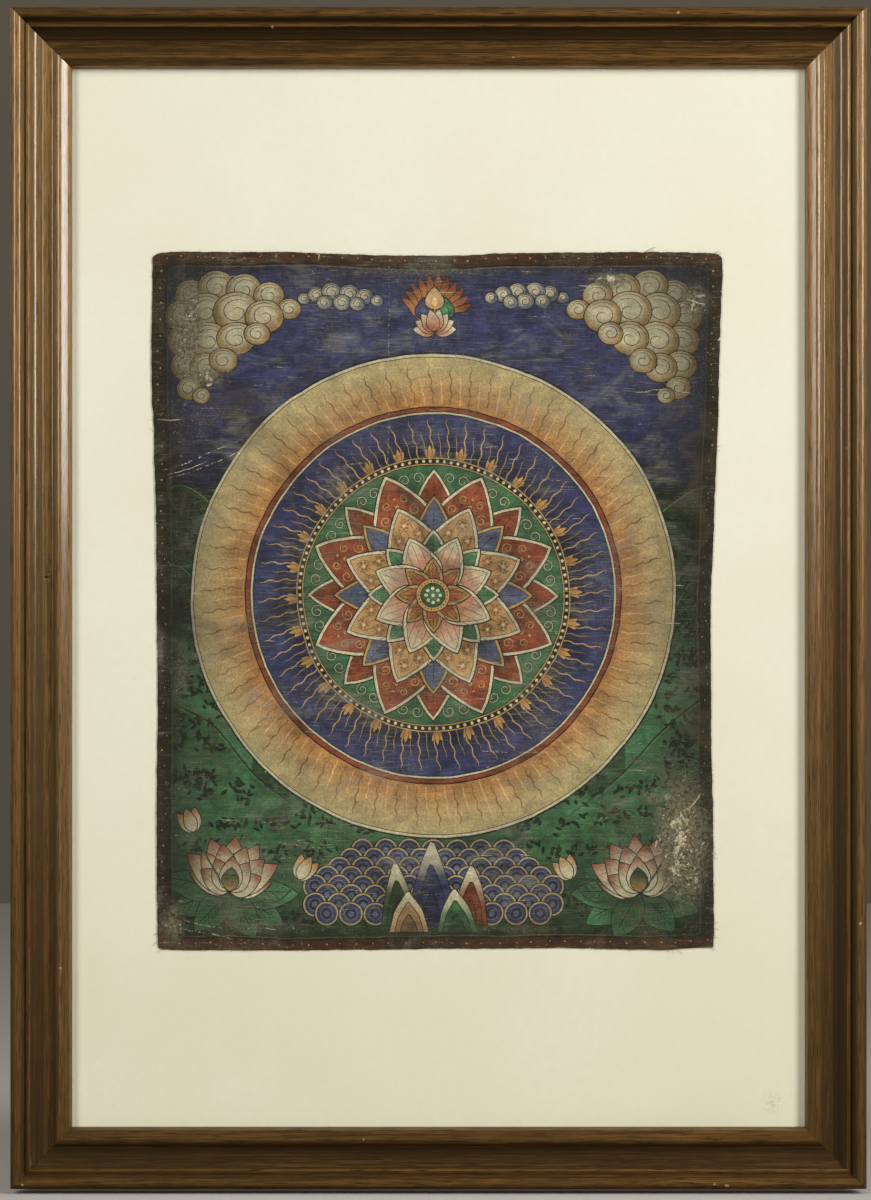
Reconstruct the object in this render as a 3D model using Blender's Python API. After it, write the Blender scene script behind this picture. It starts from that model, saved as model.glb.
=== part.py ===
"""A painted cloth, floated on a cream board in a moulded hardwood frame.

Metres, +Z up. The picture faces -Y and the frame's back lies in the plane y = 0.
The origin is on the back of the top rail, halfway along it, where the frame hangs.
"""

import math

import bmesh
import bpy
from mathutils import Vector

for old in list(bpy.data.objects):
    bpy.data.objects.remove(old, do_unlink=True)

MM = 0.001
GAP = 0.3 * MM  # between pieces that touch

# ---- driving sizes -------------------------------------------------------
FRAME_WIDTH = 686 * MM
FRAME_HEIGHT = 947 * MM
RAIL_WIDTH = 48.9 * MM
REBATE_WIDTH = 6.5 * MM  # how far the sight edge overhangs the board
REBATE_DEPTH = 12.3 * MM  # from the frame's back up to the lip that holds the board
BACK_WIDTH = RAIL_WIDTH - REBATE_WIDTH
BOARD_THICKNESS = 2.4 * MM
BOARD_SLACK = 0.5 * MM  # round the board's edges, in the rebate
CLOTH_THICKNESS = 1.0 * MM

TOP = BACK_WIDTH / 2  # the frame's top edge, over the origin
CENTRE_Z = TOP - FRAME_HEIGHT / 2
BOARD_FRONT = REBATE_DEPTH - GAP  # as a height over the frame's back

# ---- moulding: mm from the outer side, mm over the back ------------------
SIDE_TOP = 24.0
LEDGE_WIDTH = 1.2
BEAD_MIDDLE = 5.3
BEAD_HALF_WIDTH = 4.1
BEAD_HEIGHT = 3.4
BEAD_BASE = 26.5
BEAD_FACETS = 12
GROOVE_FLOOR = (11.3, 23.4)
FILLET_START = (14.7, 26.2)
FILLET_END = (15.9, 26.2)
COVE_END = (25.4, 18.9)
COVE_FACETS = 8
FLAT_START = (25.9, 18.2)
FLAT_END = (33.6, 18.2)
FLAT_HOLLOW = 0.4
FLAT_FACETS = 5
RISE_KNEE = (35.3, 21.4)
CREST_START = (37.9, 22.75)
CREST_END = (40.2, 23.3)
CREST_CROWN = 0.12
CREST_FACETS = 3
SLOPE_KNEE = (46.8, 19.3)
SLOPE_CROWN = 0.1
SLOPE_FACETS = 4
SIGHT_FRONT = (48.9, 15.9)


def curve_between(start, end, crown, steps):
    """Points after start up to end, on a shallow curve that stands crown off their chord."""
    across = Vector((end[0] - start[0], end[1] - start[1]))
    normal = Vector((-across.y, across.x)).normalized()
    points = []
    for i in range(1, steps + 1):
        t = i / steps
        off = normal * crown * 4 * t * (1 - t)
        points.append((start[0] + across.x * t + off.x, start[1] + across.y * t + off.y))
    return points


def moulding_section():
    """The moulding's section, from the back's outer corner over the front to the rebate."""
    section = [(0.0, 0.0), (0.0, SIDE_TOP), (LEDGE_WIDTH, SIDE_TOP)]
    for i in range(BEAD_FACETS + 1):
        angle = math.pi * (1 - i / BEAD_FACETS)
        section.append((BEAD_MIDDLE + BEAD_HALF_WIDTH * math.cos(angle),
                        BEAD_BASE + BEAD_HEIGHT * math.sin(angle)))
    section += [GROOVE_FLOOR, FILLET_START, FILLET_END]
    cove_width = COVE_END[0] - FILLET_END[0]
    cove_depth = FILLET_END[1] - COVE_END[1]
    for i in range(1, COVE_FACETS + 1):  # the cove falls steeply, then flattens
        angle = math.pi / 2 * i / COVE_FACETS
        section.append((COVE_END[0] - cove_width * math.cos(angle),
                        FILLET_END[1] - cove_depth * math.sin(angle)))
    section.append(FLAT_START)
    section += curve_between(FLAT_START, FLAT_END, -FLAT_HOLLOW, FLAT_FACETS)
    section += [RISE_KNEE, CREST_START]
    section += curve_between(CREST_START, CREST_END, CREST_CROWN, CREST_FACETS)
    section += curve_between(CREST_END, SLOPE_KNEE, SLOPE_CROWN, SLOPE_FACETS)
    section.append(SIGHT_FRONT)
    section.append((RAIL_WIDTH / MM, REBATE_DEPTH / MM))
    section.append((BACK_WIDTH / MM, REBATE_DEPTH / MM))
    section.append((BACK_WIDTH / MM, 0.0))
    return [(u * MM, h * MM) for u, h in section]


def material(name, colour, roughness):
    made = bpy.data.materials.new(name)
    made.use_nodes = True
    shader = made.node_tree.nodes["Principled BSDF"]
    shader.inputs["Base Color"].default_value = (*colour, 1.0)
    shader.inputs["Roughness"].default_value = roughness
    shader.inputs["Metallic"].default_value = 0.0
    return made


def add_object(name, mesh_builder, finish):
    """Makes one named object from a filled bmesh, with its faces pointing out."""
    bmesh.ops.recalc_face_normals(mesh_builder, faces=mesh_builder.faces)
    mesh = bpy.data.meshes.new(name)
    mesh_builder.to_mesh(mesh)
    mesh_builder.free()
    mesh.materials.append(finish)
    made = bpy.data.objects.new(name, mesh)
    bpy.context.scene.collection.objects.link(made)
    return made


def rail(name, length, place, finish):
    """One mitred rail. place(along, u, h) puts a point of it into the frame."""
    builder = bmesh.new()
    section = moulding_section()
    ends = []
    for side in (-1, 1):
        ring = []
        for u, h in section:
            along = side * (length / 2 - u - GAP / 2 * math.sqrt(2))
            ring.append(builder.verts.new(place(along, u, h)))
        ends.append(ring)
    count = len(section)
    for i in range(count):
        k = (i + 1) % count
        builder.faces.new((ends[0][i], ends[0][k], ends[1][k], ends[1][i]))
    builder.faces.new(ends[0])
    builder.faces.new(ends[1][::-1])
    return add_object(name, builder, finish)


def frame_rails(finish):
    low = CENTRE_Z - FRAME_HEIGHT / 2
    half = FRAME_WIDTH / 2
    rail("rail_top", FRAME_WIDTH, lambda a, u, h: Vector((a, -h, TOP - u)), finish)
    rail("rail_bottom", FRAME_WIDTH, lambda a, u, h: Vector((a, -h, low + u)), finish)
    rail("rail_left", FRAME_HEIGHT, lambda a, u, h: Vector((-half + u, -h, CENTRE_Z + a)), finish)
    rail("rail_right", FRAME_HEIGHT, lambda a, u, h: Vector((half - u, -h, CENTRE_Z + a)), finish)


def mount_board(finish):
    """The board behind the lips of all four rails."""
    half_width = FRAME_WIDTH / 2 - BACK_WIDTH - BOARD_SLACK
    half_height = FRAME_HEIGHT / 2 - BACK_WIDTH - BOARD_SLACK
    builder = bmesh.new()
    bmesh.ops.create_cube(builder, size=1.0)
    for vertex in builder.verts:
        vertex.co.x *= 2 * half_width
        vertex.co.y = -BOARD_FRONT + BOARD_THICKNESS * (vertex.co.y + 0.5)
        vertex.co.z = CENTRE_Z + vertex.co.z * 2 * half_height
    return add_object("mount_board", builder, finish)


# ---- painted cloth: its outline wanders, as old hand-cut cloth does ------
# columns: mm over the frame's centre, mm from the middle to the left edge, and to the right edge
SIDE_EDGES = (
    (274.0, 229.6, 227.6),
    (262.0, 229.9, 228.2),
    (236.0, 230.0, 227.0),
    (210.0, 230.7, 226.1),
    (181.0, 230.5, 225.2),
    (152.0, 230.0, 224.9),
    (147.0, 228.9, 224.8),
    (110.0, 228.2, 223.2),
    (80.0, 227.1, 221.9),
    (45.0, 226.8, 220.8),
    (10.0, 226.6, 219.1),
    (-20.0, 226.2, 218.5),
    (-60.0, 225.8, 219.0),
    (-100.0, 225.4, 219.0),
    (-133.0, 226.2, 219.4),
    (-165.0, 226.3, 220.4),
    (-200.0, 226.4, 220.8),
    (-240.0, 226.2, 221.0),
    (-270.0, 225.7, 221.4),
    (-280.6, 225.2, 220.6),
)
# columns: mm right of the middle, mm over the frame's centre
TOP_EDGE = (
    (-226.4, 276.2),
    (-223.0, 277.4),
    (-212.0, 278.3),
    (-180.0, 278.0),
    (-120.0, 277.9),
    (-80.0, 276.3),
    (-55.0, 275.5),
    (-5.0, 275.0),
    (25.0, 275.3),
    (45.0, 276.8),
    (90.0, 277.4),
    (140.0, 277.8),
    (175.0, 277.9),
    (215.0, 277.3),
    (224.0, 276.4),
)
BOTTOM_EDGE = (
    (217.0, -280.6),
    (206.0, -281.0),
    (180.0, -282.7),
    (150.0, -282.1),
    (120.0, -281.3),
    (95.0, -280.8),
    (50.0, -281.6),
    (0.0, -281.7),
    (-60.0, -282.6),
    (-130.0, -283.1),
    (-200.0, -282.8),
    (-222.0, -282.6),
)


def painted_cloth(finish):
    """One flat sheet, just in front of the board."""
    outline = list(TOP_EDGE)
    outline += [(right, z) for z, left, right in SIDE_EDGES]
    outline += BOTTOM_EDGE
    outline += [(-left, z) for z, left, right in reversed(SIDE_EDGES)]
    back = -(BOARD_FRONT + GAP)
    builder = bmesh.new()
    points = [Vector((x * MM, back, CENTRE_Z + z * MM)) for x, z in outline]
    face = builder.faces.new([builder.verts.new(point) for point in points])
    pushed = bmesh.ops.extrude_face_region(builder, geom=[face])
    for item in pushed["geom"]:
        if isinstance(item, bmesh.types.BMVert):
            item.co.y -= CLOTH_THICKNESS
    return add_object("painted_cloth", builder, finish)


frame_rails(material("stained_hardwood", (0.115, 0.062, 0.031), 0.42))
mount_board(material("cream_board", (0.80, 0.77, 0.60), 0.9))
painted_cloth(material("painted_cotton", (0.13, 0.10, 0.075), 0.85))
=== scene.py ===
"""A worn painted cloth, floated on a cream board in a moulded and stained hardwood frame.

Metres in the frame's own axes: +Z up, the picture faces -Y, and the back lies in y = 0.
"""

import math
import random

import bmesh
import bpy
import numpy as np
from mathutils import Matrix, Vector, noise
from mathutils.bvhtree import BVHTree
from mathutils.geometry import delaunay_2d_cdt
from mathutils.kdtree import KDTree


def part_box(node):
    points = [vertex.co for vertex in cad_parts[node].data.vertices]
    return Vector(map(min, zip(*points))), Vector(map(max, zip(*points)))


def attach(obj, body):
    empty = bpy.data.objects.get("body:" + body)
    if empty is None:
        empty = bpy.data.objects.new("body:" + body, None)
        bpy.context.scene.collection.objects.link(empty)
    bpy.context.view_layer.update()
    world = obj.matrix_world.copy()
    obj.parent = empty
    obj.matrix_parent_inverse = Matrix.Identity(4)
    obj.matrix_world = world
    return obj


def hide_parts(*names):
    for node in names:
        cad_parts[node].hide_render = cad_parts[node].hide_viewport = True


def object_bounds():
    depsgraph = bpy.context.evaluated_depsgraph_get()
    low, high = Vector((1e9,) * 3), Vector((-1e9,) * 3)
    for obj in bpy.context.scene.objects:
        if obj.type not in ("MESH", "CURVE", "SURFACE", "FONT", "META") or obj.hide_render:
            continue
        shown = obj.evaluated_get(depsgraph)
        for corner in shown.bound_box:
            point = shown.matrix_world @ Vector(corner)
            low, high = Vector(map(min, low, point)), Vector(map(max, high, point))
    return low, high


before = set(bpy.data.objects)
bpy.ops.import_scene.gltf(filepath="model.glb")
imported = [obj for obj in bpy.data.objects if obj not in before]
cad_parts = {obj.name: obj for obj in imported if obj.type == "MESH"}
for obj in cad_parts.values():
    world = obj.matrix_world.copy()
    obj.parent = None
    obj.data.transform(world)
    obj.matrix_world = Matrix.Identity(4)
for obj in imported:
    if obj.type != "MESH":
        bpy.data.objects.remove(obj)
cad_low, cad_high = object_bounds()

# ==========================================================================
# The frame: four lengths of one hardwood moulding, cut to a mitre and joined
# at the corners. A spindle cut its bead, cove and hollow; it was then stained
# dark and lacquered to a satin. Its proud edges are paler, partly rubbed and
# partly painted highlight, and its hollows are darker with dirt and painted shade.
# ==========================================================================
MM = 0.001
FRAME_WIDTH = (cad_high.x - cad_low.x) / MM
FRAME_HEIGHT = (cad_high.z - cad_low.z) / MM
MIDDLE_Z = (cad_high.z + cad_low.z) / 2 / MM
RAIL_WIDTH = (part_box("rail_top")[1].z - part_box("rail_top")[0].z) / MM
REBATE_WIDTH = 6.5
REBATE_DEPTH = 12.3
MITRE_HAIRLINE = 0.05  # half of the joint's open line

# the section: mm from the rail's outer side, mm over the frame's back
SIDE_TOP = 24.0
LEDGE_WIDTH = 1.2
BEAD_MIDDLE = 5.3
BEAD_HALF_WIDTH = 4.1
BEAD_HEIGHT = 3.4
BEAD_BASE = 26.5
BEAD_FACETS = 24
GROOVE_FLOOR = (11.3, 23.4)
FILLET_START = (14.7, 26.2)
FILLET_END = (15.9, 26.2)
COVE_END = (25.4, 18.9)
COVE_FACETS = 14
FLAT_START = (25.9, 18.2)
FLAT_END = (33.6, 18.2)
FLAT_HOLLOW = 0.4
FLAT_FACETS = 8
RISE_KNEE = (35.3, 21.4)
CREST_START = (37.9, 22.75)
CREST_END = (40.2, 23.3)
CREST_CROWN = 0.12
CREST_FACETS = 8
SLOPE_KNEE = (46.8, 19.3)
SLOPE_CROWN = 0.1
SLOPE_FACETS = 7
SIGHT_FRONT = (48.9, 15.9)
EASED_EDGE = 0.22  # how far each sharp edge is sanded back
SHARP_TURN = math.radians(24)
CRISP_ANGLE = math.radians(32)  # edges sharper than this stay crisp in the shading
STATIONS = 61  # places along a rail where its section is set
FRONT_START = REBATE_DEPTH + 1.0  # what lies higher than this is the moulding's front
BARE_BELOW = 3.0  # the stain stops this far over the frame's back
TIMBER_SHIFT = (900, 70, 45)  # how far apart in the timber the four rails are cut

# rail, mm along it from its middle, mm from the outer side, radius, depth, and 1 for a chip or 0 for a knot
NICKS = (
    ("rail_top", -133.0, 16.0, 1.3, 0.5, 1),
    ("rail_top", 192.0, 5.0, 1.3, 0.4, 1),
    ("rail_top", 60.0, 40.2, 0.9, 0.3, 1),
    ("rail_bottom", 231.0, 3.4, 1.7, 0.6, 1),
    ("rail_bottom", 221.0, 4.6, 1.1, 0.4, 1),
    ("rail_bottom", -333.0, 4.0, 1.1, 0.5, 1),
    ("rail_bottom", -60.0, 39.7, 0.8, 0.3, 1),
    ("rail_left", 16.0, 28.5, 1.5, 0.5, 0),
    ("rail_left", 14.0, 31.2, 0.7, 0.3, 1),
    ("rail_left", 20.0, 30.6, 0.8, 0.3, 0),
    ("rail_left", -296.0, 39.8, 0.9, 0.3, 1),
    ("rail_right", 120.0, 16.0, 1.0, 0.4, 1),
    ("rail_right", -260.0, 5.5, 1.3, 0.45, 1),
)


def curve_between(start, end, crown, steps):
    """Points after start up to end, on a shallow curve that stands crown off their chord."""
    across = Vector((end[0] - start[0], end[1] - start[1]))
    normal = Vector((-across.y, across.x)).normalized()
    points = []
    for i in range(1, steps + 1):
        t = i / steps
        off = normal * crown * 4 * t * (1 - t)
        points.append((start[0] + across.x * t + off.x, start[1] + across.y * t + off.y))
    return points


def moulding_section():
    """The section from the back's outer corner, over the front, to the rebate."""
    section = [(0.0, 0.0), (0.0, SIDE_TOP), (LEDGE_WIDTH, SIDE_TOP)]
    for i in range(BEAD_FACETS + 1):
        angle = math.pi * (1 - i / BEAD_FACETS)
        section.append((BEAD_MIDDLE + BEAD_HALF_WIDTH * math.cos(angle),
                        BEAD_BASE + BEAD_HEIGHT * math.sin(angle)))
    section += [GROOVE_FLOOR, FILLET_START, FILLET_END]
    cove_width = COVE_END[0] - FILLET_END[0]
    cove_depth = FILLET_END[1] - COVE_END[1]
    for i in range(1, COVE_FACETS + 1):
        angle = math.pi / 2 * i / COVE_FACETS
        section.append((COVE_END[0] - cove_width * math.cos(angle),
                        FILLET_END[1] - cove_depth * math.sin(angle)))
    section.append(FLAT_START)
    section += curve_between(FLAT_START, FLAT_END, -FLAT_HOLLOW, FLAT_FACETS)
    section += [RISE_KNEE, CREST_START]
    section += curve_between(CREST_START, CREST_END, CREST_CROWN, CREST_FACETS)
    section += curve_between(CREST_END, SLOPE_KNEE, SLOPE_CROWN, SLOPE_FACETS)
    section.append(SIGHT_FRONT)
    section.append((RAIL_WIDTH, REBATE_DEPTH))
    section.append((RAIL_WIDTH - REBATE_WIDTH, REBATE_DEPTH))
    section.append((RAIL_WIDTH - REBATE_WIDTH, 0.0))
    return section


def eased(section):
    """The same section with each sharp edge sanded to a narrow flat."""
    smooth = []
    for i, here in enumerate(section):
        here = Vector(here)
        before = Vector(section[i - 1]) - here
        after = Vector(section[(i + 1) % len(section)]) - here
        turn = math.pi - before.angle(after)
        cut = min(EASED_EDGE, before.length / 3, after.length / 3)
        if turn < SHARP_TURN:
            smooth.append(here)
        else:
            smooth.append(here + before.normalized() * cut)
            smooth.append(here + after.normalized() * cut)
    return smooth


# where handling has rubbed the moulding paler, with painted highlight where each rail's light falls:
# mm from the outer side, mm over the back, size, and how much on the top, bottom, left and right rails
RUBBED_AND_HIGHLIT_EDGES = (
    (5.3, 29.9, 3.2, 0.85, 0.95, 1.00, 1.15),
    (13.2, 25.0, 2.2, 0.60, 1.20, 0.60, 0.10),
    (15.2, 26.2, 1.6, 1.15, 1.40, 1.00, 0.35),
    (29.6, 18.0, 5.0, 0.00, 0.00, 0.32, 0.10),
    (36.8, 22.2, 1.5, 0.80, 0.70, 1.50, 1.30),
    (39.6, 23.3, 1.6, 1.10, 0.90, 1.45, 0.95),
    (43.8, 21.4, 3.6, 0.05, 0.15, 0.72, 1.30),
    (46.9, 19.3, 1.0, 1.00, 1.00, 1.00, 1.00),
    (1.0, 24.0, 1.0, 1.00, 1.00, 1.00, 1.00),
)
# where polish and dirt have settled, with painted shade in the hollows turned away from the light: mm from
# the outer side, half width, and how much on each rail
SHADED_AND_GRIMY_HOLLOWS = (
    (10.0, 2.1, 1.00, 0.00, 0.15, 0.40),
    (12.4, 1.4, 0.00, 0.10, 0.60, 0.90),
    (17.3, 1.1, 1.00, 0.30, 0.75, 0.65),
    (22.0, 3.9, 0.92, 0.45, 0.62, 0.96),
    (25.2, 1.2, 0.90, 0.70, 0.95, 0.95),
    (29.8, 4.2, 0.10, 0.80, 0.00, 0.05),
    (34.8, 1.1, 0.10, 1.00, 0.95, 0.55),
    (48.5, 0.5, 0.35, 0.35, 0.35, 0.35),
)
RAIL_NAMES = ("rail_top", "rail_bottom", "rail_left", "rail_right")


def wear_and_highlight(name, u, h):
    """From 1 on the moulding's rubbed and painted-highlight edges to 0 in its hollows."""
    rail = 3 + RAIL_NAMES.index(name)
    return max(row[rail] * math.exp(-((u - row[0]) ** 2 + (h - row[1]) ** 2) / row[2] ** 2)
               for row in RUBBED_AND_HIGHLIT_EDGES)


def shade_and_grime(name, u):
    """From 1 where polish, dirt and painted shade lie to 0 where there is none."""
    rail = 2 + RAIL_NAMES.index(name)
    return max(row[rail] * math.exp(-((u - row[0]) / row[1]) ** 4) for row in SHADED_AND_GRIMY_HOLLOWS)


def rail_stations(name, length):
    """Places along a rail where its section is set: evenly, and closer round its nicks."""
    places = list(np.linspace(-1, 1, STATIONS))
    for rail, along, u, radius, _, _ in NICKS:
        if rail == name:
            half = length / 2 - u
            places += [(along + radius * k / 5) / half for k in range(-7, 8)]
    return sorted(places)


def made_mesh(name, builder):
    """The builder's faces as a mesh; the builder itself is done with."""
    mesh = bpy.data.meshes.new(name)
    builder.to_mesh(mesh)
    builder.free()
    return mesh


def set_out(name, data):
    """Puts a new object with that mesh, light or lens into the scene."""
    thing = bpy.data.objects.new(name, data)
    bpy.context.scene.collection.objects.link(thing)
    return thing


def timber_rail(name, length, place, growth, start_tone_and_light, end_tone_and_light):
    """One mitred rail. place(along, u, h) puts a point into the frame, and growth shifts its grain."""
    section = eased(moulding_section())
    count = len(section)
    stations = rail_stations(name, length)
    run = [0.0]
    for i in range(count):
        run.append(run[-1] + (section[(i + 1) % count] - section[i]).length)
    builder = bmesh.new()
    timber = builder.verts.layers.float_vector.new("timber")
    worn_and_lit = builder.verts.layers.float.new("worn_and_lit")
    stained = builder.verts.layers.float.new("stained")
    shade_grime_and_knots = builder.verts.layers.float.new("shade_grime_and_knots")
    shade = builder.verts.layers.float.new("shade")
    rings = []
    for s in stations:
        ring = []
        for u, h in section:
            along = s * (length / 2 - u - MITRE_HAIRLINE * math.sqrt(2))
            low = h
            chip = knot = 0.0
            on_front = h > FRONT_START
            if on_front:
                for rail, nick_along, nick_u, radius, depth, bare in NICKS:
                    if rail == name:
                        far = math.hypot(along - nick_along, u - nick_u) / radius
                        far *= 1 + 0.3 * noise.noise(Vector((along, u, h)) * 1.7)
                        if far < 1:
                            low -= depth * (1 - far ** 2)
                            chip = max(chip, bare * min(1.0, 3 * (1 - far)))
                        if far < 1.6:
                            knot = max(knot, (1 - bare) * min(1.0, 1.6 - far))
            vert = builder.verts.new(place(along, u, low) * MM)
            vert[timber] = Vector((along + growth * TIMBER_SHIFT[0], u + growth * TIMBER_SHIFT[1],
                                   h + growth * TIMBER_SHIFT[2])) * MM
            # the proud edges' paleness: partly real rubbing, partly painted highlight that differs from rail
            # to rail
            vert[worn_and_lit] = wear_and_highlight(name, u, h)
            # dark knots, dirt in the hollows, and painted shade where a hollow faces away from the light
            vert[shade_grime_and_knots] = max(knot, shade_and_grime(name, u)) if on_front else 0.0
            # painted light: the tone rises from the rail's start to its end
            vert[shade] = start_tone_and_light + (end_tone_and_light - start_tone_and_light) * (s + 1) / 2
            seen = h > BARE_BELOW and (u < 0.5 or h > REBATE_DEPTH + 0.5)
            vert[stained] = 1.0 - chip if seen else 0.0
            ring.append(vert)
        rings.append(ring)
    # the long sides fill the map above the two ends, so that its u runs along the grain
    grain_map = builder.loops.layers.uv.new("OFBake")
    for j in range(len(rings) - 1):
        for i in range(count):
            k = (i + 1) % count
            face = builder.faces.new((rings[j][i], rings[j][k], rings[j + 1][k], rings[j + 1][i]))
            face.smooth = True
            edges = ((j, run[i]), (j, run[i + 1]), (j + 1, run[i + 1]), (j + 1, run[i]))
            for loop, (station, across) in zip(face.loops, edges):
                loop[grain_map].uv = (0.01 + 0.98 * (stations[station] + 1) / 2,
                                      0.06 + 0.93 * across / run[-1])
    for number, ring in ((0, rings[0]), (1, rings[-1][::-1])):
        face = builder.faces.new(ring)
        for loop in face.loops:
            u = loop.vert[timber].y / MM - growth * TIMBER_SHIFT[1]
            h = loop.vert[timber].z / MM - growth * TIMBER_SHIFT[2]
            loop[grain_map].uv = (0.02 + 0.5 * number + 0.4 * u / RAIL_WIDTH, 0.05 * h / 30)
    bmesh.ops.recalc_face_normals(builder, faces=builder.faces)
    mesh = made_mesh(name, builder)
    mesh.set_sharp_from_angle(angle=CRISP_ANGLE)
    return set_out(name + "_timber", mesh)


class Nodes:
    """A short way to write a material's nodes: each call adds one and returns its output."""

    def __init__(self, name):
        self.material = bpy.data.materials.new(name)
        self.material.use_nodes = True
        self.tree = self.material.node_tree
        self.shader = self.tree.nodes["Principled BSDF"]

    def put(self, socket, value):
        """Links the value, or sets it where it is a plain number or colour."""
        if isinstance(value, bpy.types.NodeSocket):
            self.tree.links.new(value, socket)
        elif hasattr(value, "__len__") and len(value) == 3 and socket.type == "RGBA":
            socket.default_value = (*value, 1.0)
        else:
            socket.default_value = value

    def attribute(self, name):
        """A value that the mesh carries under that name."""
        node = self.tree.nodes.new("ShaderNodeAttribute")
        node.attribute_name = name
        return node

    def place(self):
        """The place on the piece, in metres."""
        return self.tree.nodes.new("ShaderNodeTexCoord").outputs["Object"]

    def stretched(self, vector, scale, shift=(0, 0, 0)):
        """The same place, scaled apart in each direction."""
        node = self.tree.nodes.new("ShaderNodeMapping")
        self.put(node.inputs["Vector"], vector)
        node.inputs["Scale"].default_value = scale
        node.inputs["Location"].default_value = shift
        return node.outputs["Vector"]

    def mottle(self, vector, scale, detail=3.0, roughness=0.55, warp=0.0):
        """Soft noise, about 0.5 on average."""
        node = self.tree.nodes.new("ShaderNodeTexNoise")
        self.put(node.inputs["Vector"], vector)
        node.inputs["Scale"].default_value = scale
        node.inputs["Detail"].default_value = detail
        node.inputs["Roughness"].default_value = roughness
        node.inputs["Distortion"].default_value = warp
        return node.outputs["Fac"]

    def step(self, value, low, high, to_low=0.0, to_high=1.0):
        """A smooth turn from to_low to to_high as the value goes from low to high."""
        node = self.tree.nodes.new("ShaderNodeMapRange")
        node.interpolation_type = "SMOOTHSTEP"
        self.put(node.inputs["Value"], value)
        node.inputs["From Min"].default_value = low
        node.inputs["From Max"].default_value = high
        self.put(node.inputs["To Min"], to_low)
        self.put(node.inputs["To Max"], to_high)
        return node.outputs["Result"]

    def near(self, vector, place, reach):
        """From 1 at a place to 0 beyond its reach."""
        node = self.tree.nodes.new("ShaderNodeVectorMath")
        node.operation = "DISTANCE"
        self.put(node.inputs[0], vector)
        node.inputs[1].default_value = place
        return self.step(node.outputs["Value"], 0.0, reach, 1.0, 0.0)

    def sum(self, kind, *values):
        """The values put together in turn by that kind of arithmetic."""
        total = values[0]
        for value in values[1:]:
            node = self.tree.nodes.new("ShaderNodeMath")
            node.operation = kind
            self.put(node.inputs[0], total)
            self.put(node.inputs[1], value)
            total = node.outputs[0]
        return total

    def mix(self, share, under, over, kind="MIX"):
        """A share of one colour laid over another."""
        node = self.tree.nodes.new("ShaderNodeMix")
        node.data_type = "RGBA"
        node.blend_type = kind
        self.put(node.inputs["Factor"], share)
        self.put(node.inputs[6], under)
        self.put(node.inputs[7], over)
        return node.outputs[2]

    def relief(self, height, depth, strength=1.0, under=None):
        """Fine relief of that depth in metres, over any relief under it."""
        node = self.tree.nodes.new("ShaderNodeBump")
        node.inputs["Strength"].default_value = strength
        node.inputs["Distance"].default_value = depth
        self.put(node.inputs["Height"], height)
        if under is not None:
            self.put(node.inputs["Normal"], under)
        return node.outputs["Normal"]


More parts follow.
